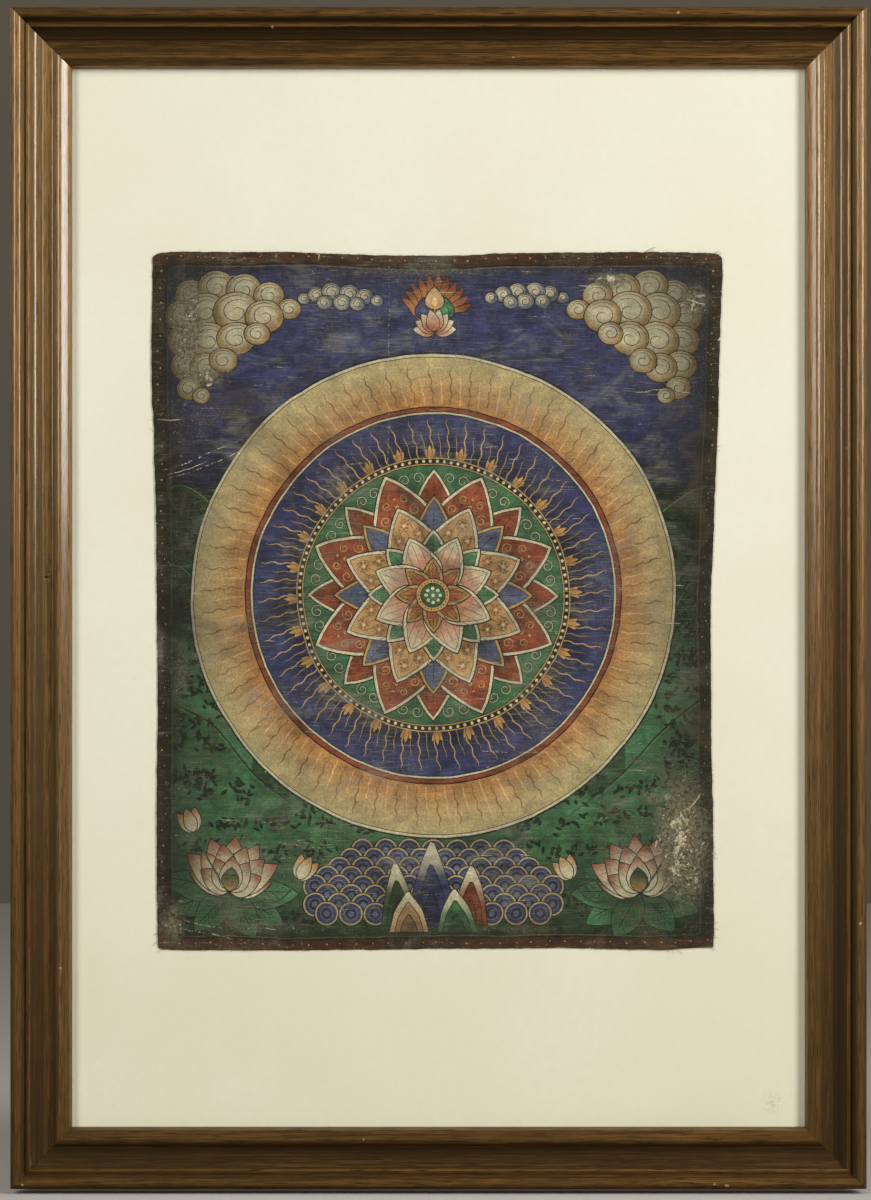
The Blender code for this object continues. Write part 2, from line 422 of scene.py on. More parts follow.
def stained_hardwood():
    """Dark-stained, open-grained hardwood under satin lacquer, bare on the frame's back. Its colour carries
    painted highlight on the proud edges, painted shade in the hollows, and painted light that rises along
    each rail.
    """
    n = Nodes("stained_hardwood")
    timber = n.attribute("timber").outputs["Vector"]
    worn_and_lit = n.attribute("worn_and_lit").outputs["Fac"]
    stained = n.attribute("stained").outputs["Fac"]
    shade_grime_and_knots = n.attribute("shade_grime_and_knots").outputs["Fac"]
    shade = n.attribute("shade").outputs["Fac"]
    # all the grain is long: each noise is stretched along the rail
    figure = n.mottle(n.stretched(timber, (3.5, 95, 95)), 1.0, 3, 0.6, 0.6)
    streak = n.mottle(n.stretched(timber, (15, 800, 800)), 1.0, 5, 0.74, 0.15)
    hair = n.mottle(n.stretched(timber, (110, 2600, 2600)), 1.0, 2, 0.6)
    pore_field = n.mottle(n.stretched(timber, (46, 1350, 1350), (7, 3, 1)), 1.0, 3, 0.6)
    pores = n.step(pore_field, 0.53, 0.58)
    grown = n.mix(n.step(figure, 0.3, 0.7), (0.038, 0.0168, 0.0042), (0.079, 0.0362, 0.0086))
    grown = n.mix(n.step(streak, 0.49, 0.62, 0.0, 0.9), grown, (0.212, 0.100, 0.0240))
    grown = n.mix(n.step(streak, 0.49, 0.41, 0.0, 0.90), grown, (0.0070, 0.0030, 0.0012))
    grown = n.mix(n.step(hair, 0.50, 0.66, 0.0, 0.5), grown, (0.178, 0.086, 0.022))
    # paler on the proud edges, partly rubbed and partly painted highlight, bare of stain where most rubbed,
    # dark in pores, and dark in hollows with dirt and painted shade
    rub_and_highlight_share = n.sum("MULTIPLY", worn_and_lit, n.step(streak, 0.38, 0.62, 0.40, 0.85))
    grown = n.mix(rub_and_highlight_share, grown, (0.228, 0.112, 0.029))
    grown = n.mix(n.step(worn_and_lit, 1.1, 1.9, 0.0, 0.7), grown, (0.50, 0.34, 0.16))
    grown = n.mix(n.sum("MULTIPLY", pores, 0.92), grown, (0.004, 0.0024, 0.0012))
    # painted shade with the dirt and the knots
    grown = n.mix(n.sum("MULTIPLY", shade_grime_and_knots, 0.95), grown, (0.004, 0.0026, 0.0014))
    # painted light: each rail is lighter towards its top or its right end
    grown = n.mix(1.0, grown, shade, "MULTIPLY")
    bare = n.mix(n.step(streak, 0.3, 0.7), (0.33, 0.22, 0.12), (0.47, 0.34, 0.20))
    bare = n.mix(n.sum("MULTIPLY", pores, 0.6), bare, (0.14, 0.085, 0.045))
    bare = n.mix(n.step(figure, 0.35, 0.7, 0.0, 0.5), bare, (0.22, 0.14, 0.075))
    edge_of_stain = n.step(n.sum("ADD", stained, n.sum("MULTIPLY", streak, 0.25)), 0.45, 0.75)
    n.put(n.shader.inputs["Base Color"], n.mix(edge_of_stain, bare, grown))
    gloss = n.step(streak, 0.35, 0.65, 0.55, 0.46)
    gloss = n.sum("ADD", gloss, n.sum("MULTIPLY", pores, 0.2))
    n.put(n.shader.inputs["Roughness"], n.sum("ADD", gloss, n.step(stained, 0.3, 0.7, 0.3, 0.0)))
    # the cut fibres under the lacquer throw light back across the grain, in the wood's own colour
    n.shader.inputs["IOR"].default_value = 1.72
    n.shader.inputs["Specular IOR Level"].default_value = 1.0
    n.shader.inputs["Specular Tint"].default_value = (1.0, 0.61, 0.23, 1.0)
    n.shader.inputs["Anisotropic"].default_value = 0.85
    n.shader.inputs["Anisotropic Rotation"].default_value = 0.25
    along_grain = n.tree.nodes.new("ShaderNodeTangent")
    along_grain.direction_type = "UV_MAP"
    along_grain.uv_map = "OFBake"
    n.put(n.shader.inputs["Tangent"], along_grain.outputs["Tangent"])
    n.shader.inputs["Coat Weight"].default_value = 0.85
    n.shader.inputs["Coat Roughness"].default_value = 0.15
    lines = n.relief(hair, 0.000012, 0.6)
    n.put(n.shader.inputs["Normal"], n.relief(n.sum("MULTIPLY", pores, -1.0), 0.00003, 0.7, lines))
    return n.material


wood = stained_hardwood()
half_width = FRAME_WIDTH / 2
top_z = cad_high.z / MM
low_z = cad_low.z / MM
# name, length, how a point of it lies in the frame, the timber's tone at its left or lower
# end, and at the other; the rise between them is painted light, brighter towards the upright
# rails' tops and the level rails' right ends
RAILS = (
    ("rail_top", FRAME_WIDTH, lambda a, u, h: Vector((a, -h, top_z - u)), 0.58, 0.92),
    ("rail_bottom", FRAME_WIDTH, lambda a, u, h: Vector((a, -h, low_z + u)), 0.52, 0.84),
    ("rail_left", FRAME_HEIGHT, lambda a, u, h: Vector((u - half_width, -h, MIDDLE_Z + a)), 0.48, 0.98),
    ("rail_right", FRAME_HEIGHT, lambda a, u, h: Vector((half_width - u, -h, MIDDLE_Z + a)), 0.42, 0.98),
)
for rail_growth, (rail_name, rail_length, rail_place, start_tone_and_light, end_tone_and_light) in enumerate(RAILS):
    rail_piece = timber_rail(rail_name, rail_length, rail_place, rail_growth, start_tone_and_light, end_tone_and_light)
    rail_piece.data.materials.append(wood)
    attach(rail_piece, "root")
    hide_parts(rail_name)

# ==========================================================================
# The mount board: one sheet of cream, rag-faced board that drops into the
# frame's rebate from behind. Its face has a fine tooth, a few faint marks
# and a grey smudge low on the right.
# ==========================================================================
board_low, board_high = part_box("mount_board")
BOARD_EDGE = 0.25 * MM  # how much its cut edges are rounded
SMUDGE = (0.269, board_low.y, MIDDLE_Z * MM - 0.4056)
SMUDGE_REACH = 0.013
SHADED_FROM, SHADED_TO = -0.94, -0.30  # heights between which painted shade darkens the board


def board_sheet():
    """The board, with its face filling its OFBake map and its back and edges in a strip beside it."""
    builder = bmesh.new()
    bmesh.ops.create_cube(builder, size=1.0)
    size = board_high - board_low
    middle = (board_high + board_low) / 2
    for vert in builder.verts:
        vert.co = Vector((vert.co.x * size.x, vert.co.y * size.y, vert.co.z * size.z)) + middle
    bmesh.ops.bevel(builder, geom=builder.edges[:], offset=BOARD_EDGE, segments=2, affect="EDGES")
    front_map = builder.loops.layers.uv.new("OFBake")
    for face in builder.faces:
        toward_front = face.normal.y < -0.5
        for loop in face.loops:
            x = (loop.vert.co.x - board_low.x) / size.x
            z = (loop.vert.co.z - board_low.z) / size.z
            if toward_front:
                loop[front_map].uv = (0.01 + 0.90 * x, 0.01 + 0.98 * z)
            else:
                loop[front_map].uv = (0.925 + 0.065 * x, 0.01 + 0.98 * z)
    return set_out("mount_board_sheet", made_mesh("mount_board_sheet", builder))


def cream_board():
    """Matt cream paper with a fine tooth."""
    n = Nodes("cream_board")
    spot = n.place()
    tooth = n.mottle(spot, 900, 4, 0.7)
    felt = n.mottle(spot, 160, 3, 0.6)
    aged = n.mottle(spot, 6, 3, 0.5)
    face = n.mix(n.step(aged, 0.3, 0.7), (0.765, 0.742, 0.590), (0.800, 0.778, 0.640))
    face = n.mix(n.step(felt, 0.35, 0.65, 0.0, 0.16), face, (0.70, 0.675, 0.52))
    face = n.mix(n.step(tooth, 0.60, 0.72, 0.0, 0.10), face, (0.62, 0.60, 0.47))
    # painted shade, darker and yellower towards its foot, then a smudge and a few foxed specks
    height = n.tree.nodes.new("ShaderNodeSeparateXYZ")
    n.put(height.inputs[0], spot)
    foot_shade = n.step(height.outputs["Z"], SHADED_FROM, SHADED_TO, 0.85, 0.0)
    face = n.mix(foot_shade, face, (0.935, 0.930, 0.870), "MULTIPLY")
    smears = n.step(n.mottle(spot, 320, 3, 0.6), 0.42, 0.60)
    rubbed_grey = n.sum("MULTIPLY", n.near(spot, SMUDGE, SMUDGE_REACH), smears)
    face = n.mix(n.sum("MULTIPLY", rubbed_grey, 0.42), face, (0.42, 0.39, 0.34))
    foxed = n.sum("MULTIPLY", n.step(n.mottle(spot, 330, 0, 0.5), 0.845, 0.87), n.step(aged, 0.50, 0.62))
    face = n.mix(n.sum("MULTIPLY", foxed, 0.4), face, (0.46, 0.38, 0.24))
    n.put(n.shader.inputs["Base Color"], face)
    n.shader.inputs["Roughness"].default_value = 0.92
    n.shader.inputs["Specular IOR Level"].default_value = 0.25
    n.put(n.shader.inputs["Normal"], n.relief(n.sum("ADD", tooth, felt), 0.00010, 0.35))
    return n.material


board = board_sheet()
board.data.materials.append(cream_board())
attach(board, "root")
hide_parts("mount_board")

# ==========================================================================
# The painted cloth: thin cotton, sized with chalk and glue, painted in
# mineral colours with inked outlines, and worn by rolling and smoke. It is
# laid flat on the board. The ornament is a general one: a great lotus in a
# rayed roundel, with clouds above it, and hills, water and blossoms below.
# ==========================================================================
CLOTH_BACK = -board_low.y / MM + 0.2  # over the frame's back
CLOTH_THICKNESS = 0.6
RIM_THICKNESS = 0.4
EDGE_STEP = 1.6  # between points of the cut edge
GRID_STEP = 5.0  # between points where the front has no outline
BACK_STEP = 13.0  # the same on the back
BORDER_LEFT = 11.2
BORDER_RIGHT = 9.6
BORDER_TOP = 9.8
BORDER_BOTTOM = 9.2
hand = random.Random(11)  # the painter's unsteadiness


def pigment(red, green, blue):
    """A dried colour, given in screen values from 0 to 255, as the light that it gives back."""
    shares = [value / 255 for value in (red, green, blue)]
    return np.array([s / 12.92 if s < 0.04045 else ((s + 0.055) / 1.055) ** 2.4 for s in shares])


INK = pigment(30, 26, 23)
LAPIS = pigment(53, 57, 90)
NIGHT = pigment(33, 36, 58)
SLATE = pigment(84, 92, 110)
MALACHITE = pigment(66, 110, 75)
LEAF = pigment(46, 77, 50)
FOREST = pigment(26, 42, 30)
CINNABAR = pigment(128, 66, 44)
MAROON = pigment(90, 44, 33)
SAFFRON = pigment(168, 121, 72)
SAND = pigment(188, 152, 104)
OCHRE = pigment(160, 130, 80)
STRAW = pigment(174, 157, 110)
CHALK = pigment(196, 188, 154)
ROSE = pigment(176, 118, 92)
HEM_BROWN = pigment(72, 44, 30)
HEM_DARK = pigment(43, 36, 26)


def flat(colour):
    """One colour all over."""
    return lambda x, z: np.tile(colour, (len(x), 1))


def fade(near_colour, far_colour, centre, near, far):
    """A wash that turns from one colour at a centre to another round it."""
    def rule(x, z):
        share = np.clip((np.hypot(x - centre[0], z - centre[1]) - near) / (far - near), 0, 1)[:, None]
        share = share * share * (3 - 2 * share)
        return near_colour * (1 - share) + far_colour * share
    return rule


def layered(stops):
    """A wash in bands of height: stops are (height, colour), from the lowest up."""
    heights = [height for height, _ in stops]
    colours = np.array([colour for _, colour in stops])
    return lambda x, z: np.column_stack([np.interp(z, heights, colours[:, i]) for i in range(3)])


def spaced(points, step, closed=False):
    """The same line with a point about every step along it."""
    points = np.asarray(points, float)
    if closed:
        points = np.vstack((points, points[:1]))
    run = np.concatenate(([0], np.cumsum(np.linalg.norm(np.diff(points, axis=0), axis=1))))
    count = max(2, int(round(run[-1] / step)) + 1)
    at = np.linspace(0, run[-1], count)
    line = np.column_stack((np.interp(at, run, points[:, 0]), np.interp(at, run, points[:, 1])))
    return line[:-1] if closed else line


def through(points, per=6):
    """A smooth line through a few given points."""
    p = np.asarray(points, float)
    p = np.vstack((2 * p[0] - p[1], p, 2 * p[-1] - p[-2]))
    line = []
    for i in range(1, len(p) - 2):
        for t in np.arange(per) / per:
            line.append(0.5 * (2 * p[i] + (p[i + 1] - p[i - 1]) * t
                               + (2 * p[i - 1] - 5 * p[i] + 4 * p[i + 1] - p[i + 2]) * t * t
                               + (3 * p[i] - p[i - 1] - 3 * p[i + 1] + p[i + 2]) * t ** 3))
    line.append(p[-2])
    return np.array(line)


def swung(centre, radius, turn):
    """Points round a centre, at those radii and angles."""
    return np.column_stack((centre[0] + radius * np.cos(turn), centre[1] + radius * np.sin(turn)))


def heading(turn):
    """The direction at that angle."""
    return np.array((math.cos(turn), math.sin(turn)))


def circle(centre, radius, count):
    return swung(centre, radius, np.linspace(0, 2 * np.pi, count, endpoint=False))


def spiral(centre, start_radius, end_radius, start, turns, count):
    turn = start + np.linspace(0, 2 * np.pi * turns, count)
    return swung(centre, np.linspace(start_radius, end_radius, count), turn)


def petal(length, width, fullness=0.8, steps=9):
    """A petal that stands on the origin, with its tip straight up."""
    t = np.linspace(0, 1, steps + 1)
    half = width / 2 * np.sin(np.pi * t ** fullness) ** 0.8
    right = np.column_stack((half, t * length))
    return np.vstack((right, np.column_stack((-half[-2:0:-1], t[-2:0:-1] * length))))


def placed(points, place, turn=0.0, size=1.0):
    """The same shape, sized, turned and moved to a place."""
    points = np.asarray(points, float) * size
    c, s = math.cos(turn), math.sin(turn)
    return np.column_stack((place[0] + points[:, 0] * c - points[:, 1] * s,
                            place[1] + points[:, 0] * s + points[:, 1] * c))


def signed_area(points):
    """Its area, which is negative where the outline runs clockwise."""
    x, z = points[:, 0], points[:, 1]
    return 0.5 * float(np.sum(x * np.roll(z, -1) - np.roll(x, -1) * z))


def grown(points, by):
    """The outline moved outwards by about that much, unevenly, as an inked line is."""
    if signed_area(points) < 0:
        points = points[::-1]
    step = np.roll(points, -1, axis=0) - points
    step /= np.linalg.norm(step, axis=1)[:, None]
    normal = np.column_stack((step[:, 1], -step[:, 0]))
    both = normal + np.roll(normal, 1, axis=0)
    length = np.linalg.norm(both, axis=1)
    push = both / length[:, None] / np.maximum(length / 2, 0.65)[:, None]
    uneven = np.array([1 + 0.35 * noise.noise(Vector((x, z, by)) * 0.11) for x, z in points])
    return points + push * (by * uneven)[:, None]


layers = []  # (outline, colour rule, kind), in the order of painting


def mixed(rule):
    """A plain colour as a rule, mixed a little lighter or darker each time."""
    return flat(rule * hand.uniform(0.93, 1.07)) if isinstance(rule, np.ndarray) else rule


def paint(points, rule, kind="field"):
    """Fills an outline. A kind of cloth may run into the border; a field may not."""
    points = np.asarray(points, float)
    rule = mixed(rule)
    if signed_area(points) < 0:
        points = points[::-1]
    layers.append((points, rule, kind))


def inked(points, rule, line=0.8, ink=INK):
    """Fills an outline and draws round it."""
    paint(grown(points, line), ink)
    paint(points, rule)


def brush(points, width, rule, start=0.35, end=0.35, kind="field"):
    """One brush line, thinner where it starts and ends."""
    points = np.asarray(points, float)
    along = np.gradient(points, axis=0)
    along /= np.linalg.norm(along, axis=1)[:, None]
    across = np.column_stack((-along[:, 1], along[:, 0]))
    t = np.linspace(0, 1, len(points))
    swell = np.minimum(1, np.minimum(start + (1 - start) * t * 4, end + (1 - end) * (1 - t) * 4))
    half = width / 2 * swell * np.array([1 + hand.uniform(-0.15, 0.15) for _ in t])
    left = points + across * half[:, None]
    right = points - across * half[:, None]
    quads = [np.array((right[i], right[i + 1], left[i + 1], left[i])) for i in range(len(t) - 1)]
    rule = mixed(rule)
    bent = [q for q in quads if min(signed_area(q[[0, 1, 2]]), signed_area(q[[0, 2, 3]])) <= 0]
    if bent:
        for quad in quads:
            if min(signed_area(quad[[0, 1, 2]]), signed_area(quad[[0, 2, 3]])) > 0:
                layers.append((quad, rule, kind))
    else:
        layers.append((np.vstack((right, left[::-1])), rule, kind))


def blotted(points, amount, step):
    """An outline made uneven, like the edge of a wash."""
    return np.array([(x + amount * noise.noise(Vector((x / step, z / step, 3.1))),
                      z + amount * noise.noise(Vector((x / step, z / step, 9.4)))) for x, z in points])


# ---- the cut edge, and the field inside its dark border
def cut_edge():
    """The outline of the frame's own cloth: mm to the right of the middle, and over it."""
    corners = {(round(v.co.x / MM, 1), round(v.co.z / MM - MIDDLE_Z, 1))
               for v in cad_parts["painted_cloth"].data.vertices}
    return sorted(corners, key=lambda p: math.atan2(p[1], p[0]))


straight_edge = np.array(cut_edge())
edge = spaced(straight_edge, EDGE_STEP, closed=True)
SLOW_WANDER, QUICK_WANDER = 0.45, 0.22


def strayed(straight, x, z, slow_level, quick_level):
    """Where the scissors went at a place, instead of straight on."""
    return (straight + SLOW_WANDER * noise.noise(Vector((x, z, slow_level)) * 0.13)
            + QUICK_WANDER * noise.noise(Vector((x, z, quick_level)) * 0.6))


edge = np.array([(strayed(x, x, z, 0, 5), strayed(z, x, z, 2, 8)) for x, z in edge])
TEARS = (  # place on the edge, the foot of the tear, half the gap at its mouth
    ((-96.6, 278.0), (-96.0, 272.6), 0.55),
    ((226.5, 208.6), (224.4, 207.4), 1.0),
    ((227.6, 246.0), (226.2, 246.2), 0.5),
    ((-227.4, 60.5), (-225.8, 60.2), 0.5),
    ((218.6, -206.0), (217.4, -206.2), 0.6),
    ((-60.0, -282.6), (-60.3, -280.4), 0.5),
    ((121.0, -281.4), (121.3, -279.2), 0.6),
)


def torn(outline):
    """The outline with a narrow gap cut in to the foot of each tear."""
    for mouth, foot, half in TEARS:
        mouth, foot = np.array(mouth), np.array(foot)
        inward = (foot - mouth) / np.linalg.norm(foot - mouth)
        across = np.array((-inward[1], inward[0]))
        k = int(np.argmin(np.linalg.norm(outline - mouth, axis=1)))
        middle = outline[k]
        if np.dot(outline[(k + 1) % len(outline)] - middle, across) < 0:
            across = -across
        gap = np.array((middle - across * half, middle + (foot - mouth), middle + across * half))
        outline = np.vstack((outline[:k], gap, outline[k + 1:]))
    return outline


edge = torn(edge)
half_left, half_right = -edge[:, 0].min(), edge[:, 0].max()
half_top, half_low = edge[:, 1].max(), -edge[:, 1].min()


def inside_edge(left, right, top, low):
    """A line that runs inside the cut edge by the four widths."""
    x, z = straight_edge[:, 0], straight_edge[:, 1]
    line = np.column_stack((x * np.where(x < 0, 1 - left / half_left, 1 - right / half_right),
                            z * np.where(z < 0, 1 - low / half_low, 1 - top / half_top)))
    return blotted(spaced(line, 4.0, closed=True), 0.5, 9.0)


def hem_colour(x, z):
    """The border's brown: redder along the top and the bottom, and nearly black at the left."""
    redness = np.clip((np.abs(z) - 262) / 10, 0, 1)[:, None]
    return HEM_DARK * (1 - redness) + HEM_BROWN * redness


paint(edge, hem_colour, "cloth")
field_edge = inside_edge(BORDER_LEFT, BORDER_RIGHT, BORDER_TOP, BORDER_BOTTOM)
GROUND = ((-280, FOREST * 1.4), (-240, LEAF), (-150, MALACHITE * 0.9), (-20, LEAF), (60, FOREST),
          (84, FOREST), (92, NIGHT), (150, LAPIS * 0.9), (240, LAPIS), (280, NIGHT))  # earth, then sky
FIELD = len(layers)  # the field's number among the layers
paint(field_edge, layered(GROUND), "cloth")

# ---- hills with dabbed foliage, behind everything
HILLS = (  # from the back: points along the crest, then the colour at the crest and at the foot
    (((-235, 70), (-212, 92), (-190, 84), (-168, 60), (-140, 40), (-120, 20)), FOREST, LEAF),
    (((235, 66), (214, 90), (188, 78), (166, 58), (140, 34), (120, 10)), FOREST, LEAF),
    (((-235, 10), (-215, 28), (-196, 16), (-176, -20), (-150, -60)), FOREST, MALACHITE),
    (((235, 20), (218, 30), (198, 8), (178, -30), (150, -70)), FOREST, MALACHITE),
    (((-235, -70), (-205, -88), (-180, -104), (-150, -140), (-110, -172)), LEAF, MALACHITE),
    (((235, -64), (206, -84), (178, -108), (148, -142), (104, -176)), LEAF, MALACHITE),
)
HILL_FOOT = -160.0
HILL_SIDE = 235.0  # beyond the cloth's edge
for crest, crest_colour, foot_colour in HILLS:
    ridge = through(crest, 7)
    side = -1 if crest[0][0] < 0 else 1
    foot = np.array(((ridge[-1][0], HILL_FOOT), (side * HILL_SIDE, HILL_FOOT)))
    low = ridge[:, 1].min() - 30
    high = ridge[:, 1].max()
    paint(np.vstack((ridge, foot)), layered(((low, foot_colour), (high, crest_colour))))
    brush(ridge, 1.3, INK * 1.6)
    brush(ridge - (0, 2.0), 1.0, MALACHITE * 1.1)


def dab_cluster(place, count, spread, colour, size):
    """A bush: short leaf strokes flicked out from one place."""
    for _ in range(count):
        turn = hand.uniform(-1.5, 1.5)
        offset = np.array((hand.gauss(0, spread), hand.gauss(0, spread * 0.45)))
        leaf = petal(size * hand.uniform(0.7, 1.3), size * hand.uniform(0.34, 0.52), 0.8, 4)
        paint(placed(leaf, np.asarray(place) + offset, turn), colour)


LEAVES = 9  # in each bush
for x in (-206, -190, 192, 204):  # up both sides
    for z in range(-150, 78, 12):
        dab_cluster((x + hand.uniform(-9, 9), z + hand.uniform(-5, 5)), LEAVES, 6.0, FOREST * 0.62, 6.6)
for x in range(-200, 200, 19):  # and in rows along the foot, clear of the water
    if abs(x) > 60:
        for z in (-158, -180, -204, -246, -262):
            dab_cluster((x + hand.uniform(-9, 9), z + hand.uniform(-7, 7)), LEAVES, 6.5, FOREST * 0.8, 6.4)

# ---- water and rocks, low in the middle
WAVE_RADIUS = 9.5
WAVE_ROWS = 8
# from the rim inwards: how much wider than the wave each ring is, and its colour
WAVE_RINGS = ((0.5, INK), (-0.3, STRAW * 0.9), (-1.5, LAPIS), (-4.0, SLATE), (-5.0, NIGHT), (-7.2, SLATE))
MIDDLE_X = -4.0  # the painting's own middle, a little left of the frame's
for row in range(WAVE_ROWS):
    z = -203 - row * 7.2
    reach = 62 + 9 * row if row < 5 else 104
    shift = WAVE_RADIUS * (row % 2)
    for k in range(int(-reach / WAVE_RADIUS / 2) - 1, int(reach / WAVE_RADIUS / 2) + 2):
        place = (MIDDLE_X + k * 2 * WAVE_RADIUS + shift, z)
        if abs(place[0] - MIDDLE_X) > reach:
            continue
        for more, colour in WAVE_RINGS:
            paint(circle(place, WAVE_RADIUS + more, 26), colour)
ROCKS = (  # left foot, peak, right foot, body colour
    ((-46, -262), (-34, -214), (-18, -262), LEAF),
    ((12, -262), (27, -216), (40, -262), CINNABAR),
    ((-26, -264), (-5, -197), (16, -264), LAPIS),
    ((-40, -268), (-24, -236), (-8, -268), SAND),
    ((0, -268), (14, -234), (32, -268), MALACHITE),
)
for left_foot, peak, right_foot, body in ROCKS:
    left_foot, peak, right_foot = map(np.array, (left_foot, peak, right_foot))
    for share, colour in ((1.0, body), (0.72, body * 0.72), (0.42, body * 0.5)):
        middle = (left_foot + right_foot) / 2
        outline = [left_foot, (left_foot * 0.55 + peak * 0.45) + (-2.5, 2), peak - (3, 2.5), peak,
                   peak + (3, -4), (right_foot * 0.5 + peak * 0.5) + (3, 1), right_foot]
        shape = through([middle + (point - middle) * share for point in outline], 4)
        inked(shape, fade(CHALK if share == 1.0 else colour * 1.3, colour, peak, 2, 26 * share + 8), 0.7)


# ---- blossoms in the lower corners
def lotus_bloom(place, size, lean, tip_colour):
    """An open lotus seen from the side, on its leaves."""
    place = np.array(place, float)
    for side in (-1, 1):
        for angle, length in ((1.95, 44), (1.45, 50), (2.5, 36)):
            leaf = placed(petal(length, 21, 0.9, 10), place - (0, 2), side * angle + lean, size)
            inked(leaf, fade(LEAF, MALACHITE * 1.15, place, 8 * size, 46 * size), 0.8)
            direction = np.array((-math.sin(side * angle + lean), math.cos(side * angle + lean)))
            brush(place + np.outer(np.linspace(0.25, 0.9, 6) * length * size, direction), 0.9, FOREST)
            for vein in (-1, 1):
                for k in range(3, 8):
                    root = place + direction * (k * length * size / 10)
                    tip = root + size * (direction * 6 + vein * np.array((-direction[1], direction[0])) * 6)
                    brush(np.array((root, (root + tip) / 2 + direction * 0.6, tip)), 0.5, FOREST)
    rows = (((-1.25, 1.25), 31, 15), ((-0.95, 0.95, -0.45, 0.45, 0.0), 40, 19),
            ((-0.72, 0.72, -0.24, 0.24), 34, 19), ((-1.02, 1.02, -0.5, 0.5, 0.0), 25, 16))
    for angles, length, width in rows:
        for angle in angles:
            shape = placed(petal(length, width, 0.72, 11), place, angle + lean, size)
            inked(shape, fade(CHALK, tip_colour, place, length * size * 0.55, length * size * 1.02), 0.75)
            for side in (-0.45, 0.0, 0.45):
                line = [(side * width * 0.42 * math.sin(t * 2.4), t * length) for t in (0.3, 0.5, 0.7, 0.86)]
                brush(placed(line, place, angle + lean, size), 0.45, ROSE * 0.8)
    inked(placed(petal(17, 12, 0.85, 8), place, lean, size), fade(OCHRE, LEAF, place, 2, 15 * size), 0.7)


lotus_bloom((-168, -236), 1.12, -0.12, CINNABAR)
lotus_bloom((162, -236), 1.12, 0.12, CINNABAR)
for bud_x, bud_z, bud_lean in ((-196, -188, 0.35), (-112, -226, -0.5), (192, -190, -0.3), (106, -226, 0.45)):
    stem_foot = (-168 if bud_x < 0 else 162, -240)
    brush(through(((bud_x, bud_z), ((bud_x * 2 + stem_foot[0]) / 3, bud_z - 18), stem_foot), 6), 1.6, LEAF)
    for side in (-0.4, 0.4, 0.0):
        bud = placed(petal(20, 10, 0.75, 8), (bud_x, bud_z), bud_lean + side)
        inked(bud, fade(CHALK, SAFFRON, (bud_x, bud_z), 6, 20), 0.7)


# ---- clouds in the upper corners
def cloud(place, mirror, lobes, shade):
    """Scalloped puffs, painted from the back forward, each with its inked curl."""
    for x, z, radius in lobes:
        middle = (place[0] + mirror * x, place[1] + z)
        puff = circle(middle, radius, int(14 + radius))
        puff = np.array([(px, middle[1] + (pz - middle[1]) * 0.88) for px, pz in puff])
        lit_side = (middle[0] - 1, middle[1] + radius * 0.25)
        inked(puff, fade(CHALK * 0.86, shade, lit_side, radius * 0.35, radius * 1.05), 0.75)
        curl_start, rim_start = (0.4, 0.9) if mirror > 0 else (2.74, 2.24)
        curl = spiral(middle, radius * 0.72, radius * 0.16, curl_start, mirror * 1.35, int(10 + radius))
        brush(curl * (1, 0.88) + (0, middle[1] * 0.12), 0.65, INK * 2.2)
        rim = spiral(middle, radius * 0.86, radius * 0.86, rim_start, mirror * 0.36, 8)
        brush(rim * (1, 0.88) + (0, middle[1] * 0.12), 0.8, shade * 0.8)


CORNER_CLOUD = (
    (-34, 26, 13), (-14, 32, 15), (8, 30, 14), (28, 25, 12), (44, 14, 9),
    (-42, 8, 14), (-22, 12, 17), (2, 12, 18), (24, 8, 15), (-40, -12, 14), (-20, -12, 17),
    (2, -10, 15), (18, -6, 10), (-38, -32, 13), (-22, -34, 13), (-8, -28, 11), (-36, -50, 10), (-26, -56, 7),
)
cloud((-164, 218), 1, CORNER_CLOUD, OCHRE * 0.72)
cloud((156, 218), -1, CORNER_CLOUD, OCHRE * 0.72)
DRIFT = ((-30, 0, 5), (-20, 3, 7), (-8, 5, 8), (6, 4, 8), (18, 2, 7), (28, -1, 5), (0, -3, 7), (-14, -3, 6),
         (12, -4, 6))
cloud((-78, 240), 1, DRIFT, SLATE * 0.9)
cloud((70, 242), -1, DRIFT, SLATE * 0.9)


# ---- three jewels on a small lotus, over the roundel
JEWEL_SEAT = np.array((MIDDLE_X, 222.0))
FLAME = through(((0, 0), (5, 12), (2.5, 22), (6, 30), (3.5, 39), (0, 30), (-3.5, 22), (-5.5, 12),
                 (0, 0)), 3)[:-1]
for angle in np.linspace(-1.15, 1.15, 11):
    inked(placed(FLAME, JEWEL_SEAT, angle * 0.9, 1.02 - 0.16 * abs(angle)),
          fade(SAFFRON, CINNABAR, JEWEL_SEAT, 12, 36), 0.6)
for x, z, radius, body in ((-8.5, 9, 6.6, LAPIS), (8.5, 9, 6.6, MALACHITE), (0, 17, 7.0, SAND)):
    middle = JEWEL_SEAT + (x, z)
    drop = placed(petal(radius * 2.6, radius * 2.1, 0.66, 10), middle - (0, radius))
    inked(drop, fade(body * 1.5, body, middle - (2, -1), 1, radius), 0.8)
    glint = placed(petal(radius * 1.2, radius * 0.7, 0.7, 6), middle - (0, radius * 0.6))
    inked(glint, body * 1.9, 0.3, body * 0.5)
for angle in (-1.5, 1.5, -1.1, 1.1, -0.66, 0.66, -0.22, 0.22):
    seat_petal = placed(petal(17, 10, 0.72, 8), JEWEL_SEAT - (0, 7), angle)
    inked(seat_petal, fade(ROSE, CHALK, JEWEL_SEAT - (0, 7), 5, 17), 0.6)

# ---- the roundel's rings, from the rim inwards
HEART = np.array((MIDDLE_X, 2.0))


def ring(radius, rule, count=220):
    """A whole disc: the next one inwards leaves a ring of it."""
    paint(blotted(circle(HEART, radius, count), 0.35, 14.0), rule)


